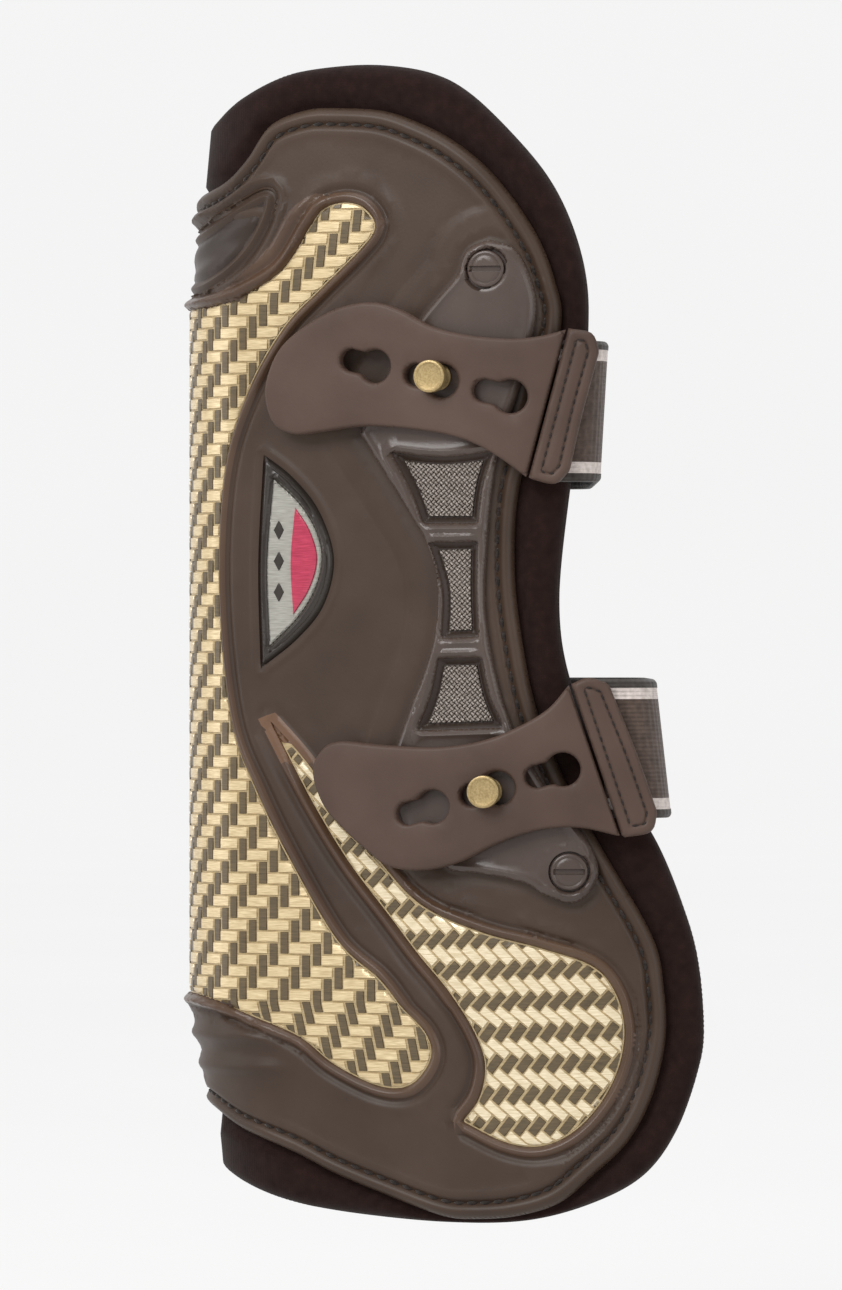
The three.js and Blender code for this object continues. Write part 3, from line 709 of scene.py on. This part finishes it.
def brushed(name, dark, light, metallic, low, high, stretch=(60, 60, 900), coat=0.25):
    """Foil or metal with fine drawn lines."""
    n = Nodes(name, metallic=metallic, coat=coat)
    n.shader.inputs["Coat Roughness"].default_value = 0.2
    n.colours(n.noise(6, 6, stretch), (0.32, dark), (0.68, light))
    n.roughness(n.noise(40, 4), low, high)
    n.bumps((n.noise(8, 5, stretch), 0.15, 0.00005),)
    return n.material


def webbing(name, dark, light):
    """Woven elastic: ribs across the band and a yarn grain along it."""
    n = Nodes(name, roughness=0.85, sheen=0.25, specular=0.3)
    n.colours(n.noise(700, 5), (0.3, dark), (0.7, light))
    n.bumps((n.waves(330, "Z", 0.6), 0.6, 0.00025), (n.noise(1500, 3), 0.35, 0.00015))
    return n.material


SHELL = moulded("shell_brown", (0.037, 0.0215, 0.0135), (0.048, 0.0285, 0.0185), (0.061, 0.0375, 0.025))
RIM = moulded("rim_brown", (0.052, 0.027, 0.015), (0.072, 0.038, 0.021), (0.095, 0.053, 0.03),
              0.26, 0.4, 0.3)
FRAME = moulded("frame_brown", (0.048, 0.031, 0.024), (0.064, 0.043, 0.034), (0.082, 0.057, 0.046),
                0.2, 0.34, 0.4)
AMBER = moulded("tip_amber", (0.1, 0.05, 0.026), (0.13, 0.067, 0.036), (0.17, 0.092, 0.052), 0.26, 0.4, 0.3)
# a dark moulding used as painted shade: in the mesh windows' gutters and thread hollows, and in the rear
# vent's recessed middle
PAINTED_SHADE = moulded("painted_recess_shade", (0.02, 0.0115, 0.0075), (0.029, 0.0175, 0.012), (0.04, 0.025, 0.018),
               0.3, 0.5, 0.08)
TAB = moulded("tab_brown", (0.058, 0.034, 0.025), (0.074, 0.0445, 0.033), (0.09, 0.056, 0.042),
              0.44, 0.6, 0.03)
LINER = knit("liner_knit", (0.011, 0.0045, 0.0035), (0.019, 0.0085, 0.0068))
GOLD = brushed("weave_gold", (0.5, 0.37, 0.19), (0.78, 0.63, 0.38), 0.3, 0.3, 0.46, coat=0.5)
PEARL = brushed("weave_pearl", (0.6, 0.48, 0.29), (0.88, 0.77, 0.56), 0.2, 0.26, 0.42, coat=0.5)
OLIVE = brushed("weave_olive", (0.06, 0.039, 0.015), (0.125, 0.086, 0.038), 0.1, 0.4, 0.55, coat=0.3)
WEAVE_BASE = brushed("weave_base", (0.34, 0.25, 0.12), (0.52, 0.4, 0.22), 0.25, 0.35, 0.5, coat=0.3)
MESH = brushed("window_mesh", (0.19, 0.16, 0.135), (0.46, 0.41, 0.37), 0.45, 0.32, 0.5, (300, 300, 300))
BRASS = brushed("stud_brass", (0.3, 0.21, 0.09), (0.46, 0.345, 0.165), 0.7, 0.34, 0.5, (400, 400, 400))
STEEL = brushed("washer_steel", (0.3, 0.3, 0.3), (0.55, 0.55, 0.55), 1.0, 0.25, 0.4)
ELASTIC = webbing("elastic_brown", (0.05, 0.032, 0.024), (0.095, 0.064, 0.05))
HEM = webbing("elastic_hem", (0.026, 0.021, 0.018), (0.058, 0.049, 0.043))
STRIPE = webbing("elastic_stripe", (0.46, 0.4, 0.37), (0.7, 0.62, 0.58))
THREAD = webbing("thread_dark", (0.01, 0.006, 0.005), (0.028, 0.019, 0.015))
SILVER = brushed("badge_silver", (0.28, 0.27, 0.235), (0.45, 0.44, 0.39), 0.35, 0.22, 0.36)
ENAMEL = brushed("badge_enamel", (0.34, 0.02, 0.055), (0.52, 0.045, 0.1), 0.1, 0.14, 0.28)
BEZEL = moulded("badge_bezel", (0.015, 0.011, 0.008), (0.024, 0.018, 0.014), (0.035, 0.028, 0.022),
                0.2, 0.35, 0.4)
GEL = moulded("gel_pad", (0.16, 0.18, 0.2), (0.22, 0.24, 0.26), (0.3, 0.32, 0.34), 0.3, 0.5, 0.3, 700)

# ---- shell and liner -----------------------------------------------------------------------------

DENSE = 1.7
shell_loop = wrapped_loop(SHELL_HALF)
liner_loop = wrapped_loop(LINER_HALF)
tendon_loop = wrapped_loop(TENDON_HALF)
vent_loop = wrapped_loop(VENT_HALF)
leaf_loops = {side: closed_loop(LEAF, side) for side in SIDES.values()}
frame_loops = {side: closed_loop(FLEX_FRAME, side) for side in SIDES.values()}
band_loops = {side: closed_loop(TONGUE_BAND, side) for side in SIDES.values()}
badge_loop = closed_loop(BADGE, LATERAL)
plate_loop = closed_loop(PLATE, LATERAL)


def back_ribs(points):
    """Bellows ribs round the back, above and below the woven panel."""
    s, z = np.abs(points[:, 0]), points[:, 1]
    fade = smooth((40 - s) / 14)
    ribs = sum(bump(z, at, 2.4) * high for at, high in RIBS)
    dips = sum(bump(z, at, 1.3) * 0.5 for at in RIB_DIPS)
    return fade * (ribs - dips)


def rim_of(points, loop, high):
    """A bead round an inset, then a shallow groove and a soft swell; the inset's floor is dropped."""
    gap = signed(points, loop)
    calm = 0.45 + 0.55 * smooth((np.abs(points[:, 0]) - 5) / 9)
    if loop is not tendon_loop:
        calm *= 1 - 0.7 * smooth((points[:, 1] - 96) / 10)
    bead = high * bump(gap, 1.3, 1.3) - 0.55 * bump(gap, 3.0, 0.75) + 0.42 * high * bump(gap, 4.9, 1.7)
    return np.where(gap < -0.1, INSET_FLOOR, bead * calm)


def shell_top(points, gap):
    """The shell's relief: a rolled edge with its stitched groove, ribs, beads round the insets, seats."""
    height = -1.6 * rounding(gap, 1.3)
    height += 0.5 * bump(gap, 1.9, 1.3) - 0.85 * bump(gap, 3.7, 0.95) + 0.3 * bump(gap, 5.4, 1.3)
    height += back_ribs(points)
    height += rim_of(points, tendon_loop, 0.85)
    for loop in band_loops.values():
        height += 0.5 * smooth(-signed(points, loop) / 1.6)
    for side, loop in leaf_loops.items():
        mine = points[:, 0] * side > 0
        height += np.where(mine, rim_of(points, loop, 0.9), 0)
    vent = signed(points, vent_loop)
    height += np.where(vent < -0.1, INSET_FLOOR, 0.5 * bump(vent, 2.3, 1.2) - 0.7 * bump(vent, 0.5, 0.9))
    badge = signed(points, badge_loop)
    height += np.where(badge < -0.1, -1.0, 0.25 * bump(badge, 1.4, 1.4))
    for side, loop in frame_loops.items():
        mine = points[:, 0] * side > 0
        outside = signed(points, loop)
        contour = 0.3 * smooth((8.2 - outside) / 1.4) - 0.18 * bump(outside, 8.6, 1.1)
        height += np.where(mine & (gap > 6), contour - 0.35 * bump(outside, 0.9, 1.2), 0)
    return height


def shell_paint(points):
    """Slot 1, the warmer rim colour, next to the woven panels, and slot 2 round the leaf's tip."""
    warm = np.abs(signed(points, tendon_loop) - 1.1) < 1.25
    for side in SIDES.values():
        warm |= (np.abs(signed(points, leaf_loops[side]) - 1.0) < 1.15) & (points[:, 0] * side > 0)
        warm |= signed(points, band_loops[side]) < -0.3
    tip = (points[:, 1] > 103) & (points[:, 1] < 116)
    amber = warm & tip & (np.abs(signed(points, tendon_loop)) > 3)
    return np.where(amber, 2, warm)


def make_shell():
    beads = (0.15, 0.55, 0.95, 1.35, 1.75, 2.3, 2.75, 3.2, 3.7, 4.9)
    features = ring_points([tendon_loop, *leaf_loops.values(), badge_loop, vent_loop], beads, 1.2)
    seats = ring_points(frame_loops.values(), (0.5, 1.2, 2.2, 6.8, 7.5, 8.2, 9), 1.5)
    bands = ring_points(band_loops.values(), (0.3, 0.8, 1.4), 1.2)
    rows = [z for middle, _high in RIBS for z in np.arange(middle - 3, middle + 3.1, 0.75)]
    ribs = np.array([(s, z) for z in rows for s in np.arange(-40, 40.1, 1.6)])
    return sheet_piece(
        "moulded_shell", [shell_loop], shell_top, SHELL_BACK, [SHELL, RIM, AMBER], spacing=DENSE,
        rings=(0.25, 0.6, 1.0, 1.5, 2.1, 2.8, 3.2, 3.7, 4.2, 4.7, 5.4, 6.4), paint=shell_paint,
        extra=np.vstack([features, seats, bands, ribs]), clear=7.0, sharp=60)


def liner_top(points, gap):
    """Flat under the shell, swelling past its edge to a rolled one, with a pocket for the gel pad."""
    t = np.clip(gap / 3.4, 0, 1)
    rolled = LINER_MIDDLE + 4.6 * np.sqrt(1 - (1 - t) ** 2)
    # the smooth step is nothing up to 0.6 mm outside the shell's edge
    free = smooth((signed(points, shell_loop) - 0.6) / 2.2)
    height = LINER_FACE + (rolled - LINER_FACE) * free
    height = np.where(gap < 3.4, np.minimum(height, rolled), height)
    pocket = (np.abs(points[:, 0]) < 26) & (points[:, 1] > 60) & (points[:, 1] < 202)
    return np.where(pocket, GEL_POCKET, height)


def liner_back(_points, gap):
    t = np.clip(gap / 2.6, 0, 1)
    return LINER_MIDDLE + (LINER_BACK - LINER_MIDDLE) * np.sqrt(1 - (1 - t) ** 2)


settle(make_shell(), "boot", "shell_tpu", "outer_shell")
liner = sheet_piece("knit_liner", [liner_loop], liner_top, liner_back, [LINER], spacing=DENSE * 1.5,
                    rings=(0.2, 0.5, 0.9, 1.4, 2.0, 2.7, 3.4, 4.4, 5.6, 7, 8.4, 10, 11.5),
                    clear=12.5, sharp=80)
settle(liner, "boot", "liner_neoprene", "neoprene_liner")
settle(stitches("shell_stitching", inset_loop(shell_loop, 3.7), -0.62, THREAD), "boot", "shell_tpu")

# ---- woven-look inserts --------------------------------------------------------------------------

def snapped(points, loop):
    """Points outside the loop, moved to the nearest place on it."""
    out = ~inside(points, [loop])
    if not out.any():
        return points, out
    a, b = loop, np.roll(loop, -1, axis=0)
    ab = b - a
    p = points[out][:, None, :]
    t = np.clip(((p - a) * ab).sum(-1) / np.maximum((ab ** 2).sum(1), 1e-12), 0, 1)
    near = a + t[..., None] * ab
    pick = np.linalg.norm(p - near, axis=-1).argmin(1)
    moved = points.copy()
    moved[out] = near[np.arange(len(pick)), pick]
    return moved, out


def brick_grid(x0, z0, x1, z1, height):
    """A low crowned brick as a grid of (x, z, height) points and its faces."""
    long_fill, short_fill = (0.36, 0.64), (0.5,)
    x_fill, z_fill = (long_fill, short_fill) if x1 - x0 > z1 - z0 else (short_fill, long_fill)
    xs = [x0, x0 + BRICK_BEVEL, *[x0 + f * (x1 - x0) for f in x_fill], x1 - BRICK_BEVEL, x1]
    zs = [z0, z0 + BRICK_BEVEL, *[z0 + f * (z1 - z0) for f in z_fill], z1 - BRICK_BEVEL, z1]
    points = []
    for i, x in enumerate(xs):
        for k, z in enumerate(zs):
            edge = i in (0, len(xs) - 1) or k in (0, len(zs) - 1)
            middle = (1 - abs(2 * (x - x0) / (x1 - x0) - 1)) * (1 - abs(2 * (z - z0) / (z1 - z0) - 1))
            points.append((x, z, -0.25 if edge else height * (0.82 + 0.6 * min(middle, 0.3))))
    n = len(zs)
    faces = [(i * n + k, i * n + k + 1, (i + 1) * n + k + 1, (i + 1) * n + k)
             for i in range(len(xs) - 1) for k in range(n - 1)]
    return np.array(points), faces


def weave(name, loop, turn_degrees, centre, gold, scale=1.0):
    """Herringbone bricks laid over the layout and trimmed to the loop."""
    w = BRICK * scale
    turn = math.radians(turn_degrees)
    rotate = np.array([[math.cos(turn), math.sin(turn)], [-math.sin(turn), math.cos(turn)]])
    reach = int(np.abs(loop - centre).max() / w) + 4
    kinds = [((-0.03 * w, -w, 2.07 * w, 0), 0.03, 0.05, 0.42, 0),
             ((2.13 * w, -1.97 * w, 2.97 * w, -0.03 * w), 0, 0, 0.3, 1)]
    trimmed = inset_loop(loop, 0.35, 0.8)
    parts = []
    for i in range(-reach, reach + 1):
        for k in range(-reach // 2, reach // 2 + 1):
            shift = np.array([i * w + 2 * k * w, i * w - 2 * k * w])
            middle = (shift + (1.2 * w, -0.6 * w)) @ rotate * (-1, 1) + centre
            if np.linalg.norm(middle - loop, axis=1).min() > 3 * w and not inside(middle[None], [loop])[0]:
                continue
            for (x0, z0, x1, z1), gap_x, gap_z, high, slot in kinds:
                grid, faces = brick_grid(x0 + gap_x, z0 + gap_z, x1 - gap_x, z1 - gap_z, high)
                # the layout's s runs the other way on the lateral side, so x is mirrored
                place = (grid[:, :2] + shift) @ rotate * (-1, 1) + centre
                moved, out = snapped(place, trimmed)
                if out.all():
                    continue
                height = np.where(out, np.minimum(grid[:, 2], 0.12), grid[:, 2])
                parts.append((lift(moved[:, 0], moved[:, 1], PANEL_FLOOR + height), faces, slot))
    piece = join(name, parts, [gold, OLIVE], 50)
    mesh = bmesh.new()
    mesh.from_mesh(piece.data)
    bmesh.ops.dissolve_degenerate(mesh, dist=1e-6, edges=mesh.edges)
    mesh.to_mesh(piece.data)
    mesh.free()
    return piece


tendon_base = sheet_piece("tendon_panel_base", [tendon_loop], lambda p, _gap: np.full(len(p), PANEL_FLOOR),
                          INSERT_BACK, [WEAVE_BASE], spacing=2.6)
settle(tendon_base, "boot", "woven_panel", "tendon_weave_panel")
settle(weave("tendon_weave", tendon_loop, 0, np.array([0.0, 128.0]), GOLD), "boot", "woven_panel")


def leaf_base_top(points, gap):
    return np.where(points[:, 1] > LEAF_TIP, -0.6 + 0.75 * smooth(gap / 0.9), PANEL_FLOOR)


for side_name, side in SIDES.items():
    loop = leaf_loops[side]
    edge_line = np.array([(s, LEAF_TIP) for s in np.arange(-60, 60.1, 0.5)])
    base = sheet_piece(f"{side_name}_leaf_base", [loop], leaf_base_top, INSERT_BACK, [WEAVE_BASE, AMBER],
                       spacing=2.2, rings=(0.4, 0.9), extra=edge_line, clear=1.5,
                       paint=lambda p: (p[:, 1] > LEAF_TIP).astype(int))
    settle(base, "boot", "woven_panel", f"{side_name}_leaf_panel")
    woven = loop[loop[:, 1] < LEAF_TIP]
    bricks = weave(f"{side_name}_leaf_weave", woven, side * LEAF_TURN, loop.mean(0), PEARL, LEAF_SCALE)
    settle(bricks, "boot", "woven_panel")


def vent_top(points, gap):
    ribs = 0.5 + 0.5 * np.cos(2 * math.pi * (points[:, 1] - 0.25 * np.abs(points[:, 0]) - 217.5) / 6)
    return -0.95 + 0.85 * bump(gap, 1.7, 1.5) + smooth((gap - 3) / 1.2) * (0.1 + 0.55 * ribs)


# the vent's recessed middle, more than 2.9 mm in from its edge, takes the dark slot as painted shade; the
# rim band keeps the shell colour
settle(sheet_piece("rear_bellows", [vent_loop], vent_top, -1.1, [SHELL, PAINTED_SHADE], spacing=0.9,
                   rings=(0.3, 0.7, 1.2, 1.7, 2.2, 2.7, 3.1, 3.6),
                   paint=lambda p: (edge_distance(p, [vent_loop]) > 2.9).astype(int)),
       "boot", "frame_tpu", "rear_flex_insert")

# ---- stud carriers, their windows and plugs ------------------------------------------------------

def frame_top(seats):
    """The carrier's relief: a bead inside each edge and a dished seat for each plug."""
    def top(points, gap):
        height = CARRIER_FACE - 0.8 * rounding(gap, 0.8) + 0.5 * bump(gap, 1.35, 0.95)
        for seat in seats:
            r = np.linalg.norm(points - seat, axis=1)
            height = np.where(r < 4.5, 1.0, height + 0.35 * bump(r, 5.3, 0.9))
        return height
    return top


def threads(points):
    """Height of a plain weave of round threads, 0 in the holes to 1 on the crowns."""
    a = (points[:, 0] + points[:, 1]) / THREAD_PITCH / math.sqrt(2)
    b = (points[:, 0] - points[:, 1]) / THREAD_PITCH / math.sqrt(2)
    over = (np.floor(a) + np.floor(b)) % 2
    warp = np.sin(math.pi * (a % 1)) * (0.5 + 0.5 * over)
    weft = np.sin(math.pi * (b % 1)) * (1 - 0.5 * over)
    return np.maximum(warp, weft)


def window_top(points, gap):
    gutter = 1.25 - 0.95 * smooth(gap / 1.2)
    return np.where(gap < GUTTER, gutter, 0.5 + 0.5 * threads(points))


def plug_top(seat):
    def top(points, gap):
        u, v = (points - seat).T
        dome = 2.5 - 0.4 * rounding(gap, 0.5)
        slot = (np.abs(v) < 0.55) & (np.abs(u) < 3.4)
        return np.where(slot, 1.7, dome - 0.25 * bump(gap, 1.0, 0.4))
    return top


def slot_lines(seat):
    """Points along both edges of a plug's slot."""
    along = np.arange(-3.8, 3.81, 0.3)
    return np.array([(seat[0] + u, seat[1] + v) for v in (-0.66, -0.5, 0.5, 0.66) for u in along])


for side_name, side in SIDES.items():
    seats = [flat([PLUGS[name]], side)[0] for name in PLUGS]
    holes = [closed_loop(runs, side) for runs in WINDOWS.values()]
    pockets = np.vstack([circle(*PLUGS[name], r, side, 40) for name in PLUGS for r in (4.4, 4.6, 5.3)])
    carrier = sheet_piece(
        f"{side_name}_carrier", [frame_loops[side], *holes], frame_top(seats), CARRIER_BACK, [FRAME],
        spacing=1.5, rings=(0.12, 0.3, 0.55, 0.85, 1.35, 1.8, 2.3), extra=pockets, clear=3.0, sharp=50)
    settle(carrier, "boot", "frame_tpu", f"{side_name}_flex_frame")
    for name, runs in WINDOWS.items():
        wide = closed_loop(runs, side)
        # the low gutter round each window and the hollows between the threads take the dark slot as painted
        # shade; the thread crowns take the mesh colour
        insert = sheet_piece(
            f"{side_name}_window_{name}", [wide], window_top, 0.15, [PAINTED_SHADE, MESH],
            rings=(0.3, 0.7, 1.2, 1.5, 1.6), clear=1.75, spacing=0.2,
            paint=lambda p: ((edge_distance(p, [wide]) > GUTTER) & (threads(p) > 0.55)).astype(int))
        settle(insert, "boot", "window_mesh", f"{side_name}_mesh_{name}")
    for (name, (x, z)), seat in zip(PLUGS.items(), seats):
        plug = sheet_piece(
            f"{side_name}_slotted_plug_{name}", [circle(x, z, 4.15, side, 48)], plug_top(seat), 0.9, [FRAME],
            spacing=0.6, rings=(0.12, 0.3, 0.6, 1.0, 1.4), extra=slot_lines(seat))
        settle(plug, "boot", "frame_tpu", f"{side_name}_plug_{name}")

# ---- badge ---------------------------------------------------------------------------------------

def bezel_top(_points, gap):
    return -0.5 + 1.3 * bump(gap, 1.1, 1.2)


settle(sheet_piece("badge_frame", [badge_loop, plate_loop], bezel_top, INSERT_BACK, [BEZEL], spacing=0.8,
                   rings=(0.2, 0.5, 0.8, 1.1, 1.5)), "boot", "shell_tpu", "badge_bezel")
settle(sheet_piece("badge_field", [plate_loop], crowned(0.55, 0.4, -0.75), -0.9, [SILVER], spacing=1.2,
                   rings=(0.15, 0.4)), "boot", "badge_silver", "badge_plate")
settle(sheet_piece("badge_crescent", [closed_loop(CRESCENT, LATERAL)], crowned(0.4, 0.3, -0.15), -0.15,
                   [ENAMEL], spacing=1.0, rings=(0.12, 0.3)), "boot", "badge_enamel", "badge_inlay")
for k, height in enumerate((141.5, 148.5, 155.5)):
    lozenge = flat([(20.9 + 1.15 * math.cos(a), height + 2.3 * math.sin(a))
                    for a in np.linspace(0, 2 * math.pi, 5)[:-1]], LATERAL)
    mark = sheet_piece(f"badge_lozenge_{k + 1}", [resample(lozenge, 0.4)], crowned(0.25, 0.2, -0.2), -0.22,
                       [BEZEL], spacing=0.6, rings=(0.1, 0.2))
    settle(mark, "boot", "shell_tpu")

# ---- studs ---------------------------------------------------------------------------------------

STUD_PROFILE = [(1.9, -2.3), (1.9, 2.6), (3.0, 2.6), (3.0, 3.1), (1.7, 3.2), (1.7, 6.75), (3.2, 6.85),
                (3.42, 7.0), (3.42, 7.5), (3.3, 7.65), (3.3, 7.8), (3.5, 7.9), (3.65, 8.05), (3.65, 9.45),
                (3.58, 9.66), (3.4, 9.78), (3.1, 9.8), (2.92, 9.76), (2.8, 9.64), (2.6, 9.6), (1.3, 9.58),
                (0.05, 9.57)]
for name, strap in STRAPS.items():
    stud = turned(f"{name}_brass_stud", STUD_PROFILE, frame_at(*flat([strap["stud"]], LATERAL)[0]), [BRASS])
    settle(stud, "boot", "stud_brass", f"{name}_stud")

# the CAD nodes that stay get materials too
for node, material in (("upper_stud_washer", STEEL), ("lower_stud_washer", STEEL), ("tendon_gel_pad", GEL)):
    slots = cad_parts[node].data.materials
    slots.clear()
    slots.append(material)

# ---- straps --------------------------------------------------------------------------------------

def elastic_path(strap, name):
    """Plan-view centre line of the elastic, from under the seam plate round to its sewn end, in mm."""
    low, high = (corner[2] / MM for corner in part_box(f"{name}_elastic"))
    middle, front, corner = (low + high) / 2, strap["front"], ELASTIC_CORNER
    bulge_x, bulge_y = ELASTIC_BULGE

    def wing_line(first, last, d, side):
        x, y, heading = section(around(np.linspace(first, last, 14)))
        return np.stack([x - d * np.sin(heading), side * (y + d * np.cos(heading))], axis=1)

    def bend_line(a, control, b):
        t = np.linspace(0, 1, 16)[1:-1, None]
        return (1 - t) ** 2 * a + 2 * t * (1 - t) * control + t ** 2 * b

    out = wing_line(strap["start"], front - corner, ELASTIC_LATERAL, LATERAL)
    back = wing_line(front - corner, strap["end"], ELASTIC_MEDIAL, MEDIAL)
    first, last = np.array([front, out[-1][1] + corner]), np.array([front, back[0][1] - corner])
    path = np.vstack([
        out, bend_line(out[-1], np.array([front - bulge_x, out[-1][1] - bulge_y]), first), first, last,
        bend_line(last, np.array([front - bulge_x, back[0][1] + bulge_y]), back[0]), back])
    path[:, 1] *= flare(middle)
    return path, low, high, middle


def band(name, path, low, high, middle, slope, first, last):
    """The stretch of the elastic between two shares of its length, as a ribbed closed strip."""
    total = lengths(path)[-1]
    span = np.arange(first * total, last * total, 0.4)
    span = np.append(span, last * total)
    line = places(path, span)
    step = 1.2
    ahead = places(path, span + step) - places(path, span - step)
    ahead /= np.linalg.norm(ahead, axis=1, keepdims=True)
    out = np.stack([ahead[:, 1], -ahead[:, 0]], axis=1)
    tall = high - low
    near = np.array([0, 0.25, 0.6, 1.0, 1.5, 1.95, 2.1, 3.2, 4.3, 4.45])  # cuts near either edge
    cuts = np.array([*near, *np.linspace(5.2, tall - 5.2, 14), *(tall - near[::-1])])
    edge = np.minimum(cuts, tall - cuts)
    rolled = ELASTIC_HALF * np.sqrt(1 - (1 - np.clip(edge / ELASTIC_HALF, 0, 1)) ** 2)
    hem = np.where((edge >= ELASTIC_HALF) & (edge < 2), 0.12, 0)
    half = (rolled + hem).clip(0.18)
    ring_cuts = np.concatenate([cuts, cuts[::-1]])
    ring_half = np.concatenate([half, -half[::-1]])
    ribs = 0.07 * np.sin(2 * math.pi * span / 1.6)
    ribbed = np.minimum(ring_cuts, tall - ring_cuts) > 0.5
    swell = ring_half + np.sign(ring_half) * ribs[:, None] * ribbed
    height = np.broadcast_to(low + ring_cuts, swell.shape)
    x = line[:, :1] + out[:, :1] * swell + slope * (height - middle) + BACK_X
    verts = np.stack([x, line[:, 1:] + out[:, 1:] * swell, height], axis=-1)
    rows, n = swell.shape
    centre = (ring_cuts + np.roll(ring_cuts, -1)) / 2
    inset = np.minimum(centre, tall - centre)
    marks = np.where((inset > 2.0) & (inset < 4.4), 2, np.where(inset < 2.0, 1, 0))
    slots = [*np.tile(marks, rows - 1), 0, 0]
    return make_object(name, verts.reshape(-1, 3) * MM, tube_faces(rows, n), None, slots,
                       [ELASTIC, HEM, STRIPE], 50)


def plate_top(points, gap):
    return crowned(SEAM_THICKNESS, 1.0, SEAM_BACK)(points, gap) - 0.5 * bump(gap, 2.3, 0.6)


for name, strap in STRAPS.items():
    body, seam, flap = f"{name}_strap", f"{name}_seam", f"{name}_flap"
    loops = [closed_loop(strap["tab"], LATERAL)] + [keyhole(*ends, LATERAL) for ends in strap["keyholes"]]
    tab = sheet_piece(f"{name}_keyhole_tab", loops, crowned(TAB_THICKNESS, 0.9, TAB_BACK), TAB_BACK, [TAB],
                      rings=(0.1, 0.25, 0.5, 0.9), sharp=50)
    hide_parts(f"{name}_tab")
    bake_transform(tab)

    plate_edge = closed_loop(strap["plate"], LATERAL)
    plate = sheet_piece(f"{name}_stitched_end", [plate_edge], plate_top, SEAM_BACK, [TAB], spacing=1.2,
                        rings=(0.1, 0.3, 0.6, 1.0, 1.6, 1.95, 2.3, 2.65, 3.0), clear=3.5, sharp=50)
    settle(plate, seam, "tab_tpu", f"{name}_seam_plate")
    settle(stitches(f"{name}_end_stitching", inset_loop(plate_edge, 2.3), 5.8, THREAD, 2.1, 0.22),
           seam, "tab_tpu")

    path, low, high, middle = elastic_path(strap, name)
    run = lengths(path)
    past_bend = (path[:, 1] > 0) & (path[:, 0] < strap["front"] - ELASTIC_CORNER + 0.1)
    split = run[np.argmax(past_bend)] / run[-1]
    long_part = band(f"{name}_elastic_band", path, low, high, middle, strap["lean"], 0, split)
    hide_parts(f"{name}_elastic")
    # the stretch is taken up where the band runs in under the seam plate
    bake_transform(long_part)
    root = band(f"{name}_elastic_root", path, low, high, middle, strap["lean"], split, 1)
    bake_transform(root)

    patch_loop = flat(resample(np.array(rounded(*strap["anchor"])), 1.0), MEDIAL)
    patch = sheet_piece(f"{name}_anchor_plate", [patch_loop], crowned(ANCHOR_THICKNESS, 0.8, ANCHOR_BACK),
                        5.0, [TAB], spacing=1.6, rings=(0.1, 0.25, 0.5, 0.8), sharp=50)
    settle(patch, "boot", "tab_tpu", f"{name}_anchor_patch")
    settle(stitches(f"{name}_anchor_stitching", inset_loop(patch_loop, 2.2), 6.85, THREAD, 2.8),
           "boot", "tab_tpu")

# ---- studio --------------------------------------------------------------------------------------

def backdrop():
    """A pale floor that curves up into a wall behind the boot."""
    start, radius = 5.2, 0.8
    curve = [(start + radius * math.sin(a), radius * (1 - math.cos(a)))
             for a in np.linspace(0.1, math.pi / 2, 12)]
    profile = [(-8.0, 0.0), (start, 0.0), *curve, (start + radius, 5.0)]
    floor_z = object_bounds()[0][2] - 0.03
    verts = [(x, y, z + floor_z) for y, z in profile for x in (-9, 9)]
    faces = [(2 * i, 2 * i + 1, 2 * i + 3, 2 * i + 2) for i in range(len(profile) - 1)]
    n = Nodes("studio_paper", roughness=0.9, specular=0.0)
    n.colours(n.noise(3, 2), (0.3, (0.075, 0.075, 0.074)), (0.7, (0.085, 0.085, 0.084)))
    n.shader.inputs["Emission Color"].default_value = (1, 1, 1, 1)
    n.shader.inputs["Emission Strength"].default_value = 0.85
    floor = make_object("studio_floor", verts, faces, None, None, [n.material], 80)


def area_light(name, place, width, height, power):
    """A soft light aimed at the boot's middle."""
    data = bpy.data.lights.new(name, "AREA")
    data.shape, data.size, data.size_y, data.energy = "RECTANGLE", width, height, power
    lamp = bpy.data.objects.new(name, data)
    lamp.location = place
    aim = Vector((0, 0, MIDDLE_HEIGHT * MM)) - Vector(place)
    lamp.rotation_euler = aim.to_track_quat("-Z", "Y").to_euler()
    bpy.context.scene.collection.objects.link(lamp)


def studio():
    area_light("key", (-0.8, -1.2, 1.1), 0.9, 0.9, 19)
    area_light("fill", (1.3, -1.2, 0.3), 0.8, 1.4, 6)
    area_light("top", (0.1, -0.2, 1.5), 1.0, 1.0, 6)
    area_light("rim_left", (-1.1, 0.1, 0.3), 0.4, 1.4, 3)
    world = bpy.data.worlds.new("studio")
    world.use_nodes = True
    world.node_tree.nodes["Background"].inputs["Color"].default_value = (1, 1, 1, 1)
    world.node_tree.nodes["Background"].inputs["Strength"].default_value = 0.55
    bpy.context.scene.world = world


def camera():
    """A long lens square to the lateral side."""
    lens, view_height, plane_y = 250, 0.2904, -0.03
    data = bpy.data.cameras.new("camera")
    data.lens = lens
    data.clip_end = 50
    seen = bpy.data.objects.new("camera", data)
    aim = ((53 + BACK_X) * MM, 0.1296)
    seen.location = (aim[0], plane_y - view_height * lens / data.sensor_width, aim[1])
    seen.rotation_euler = (math.pi / 2, 0, 0)
    bpy.context.scene.collection.objects.link(seen)
    bpy.context.scene.camera = seen


backdrop()
studio()
camera()
bpy.context.scene.view_settings.view_transform = "Standard"
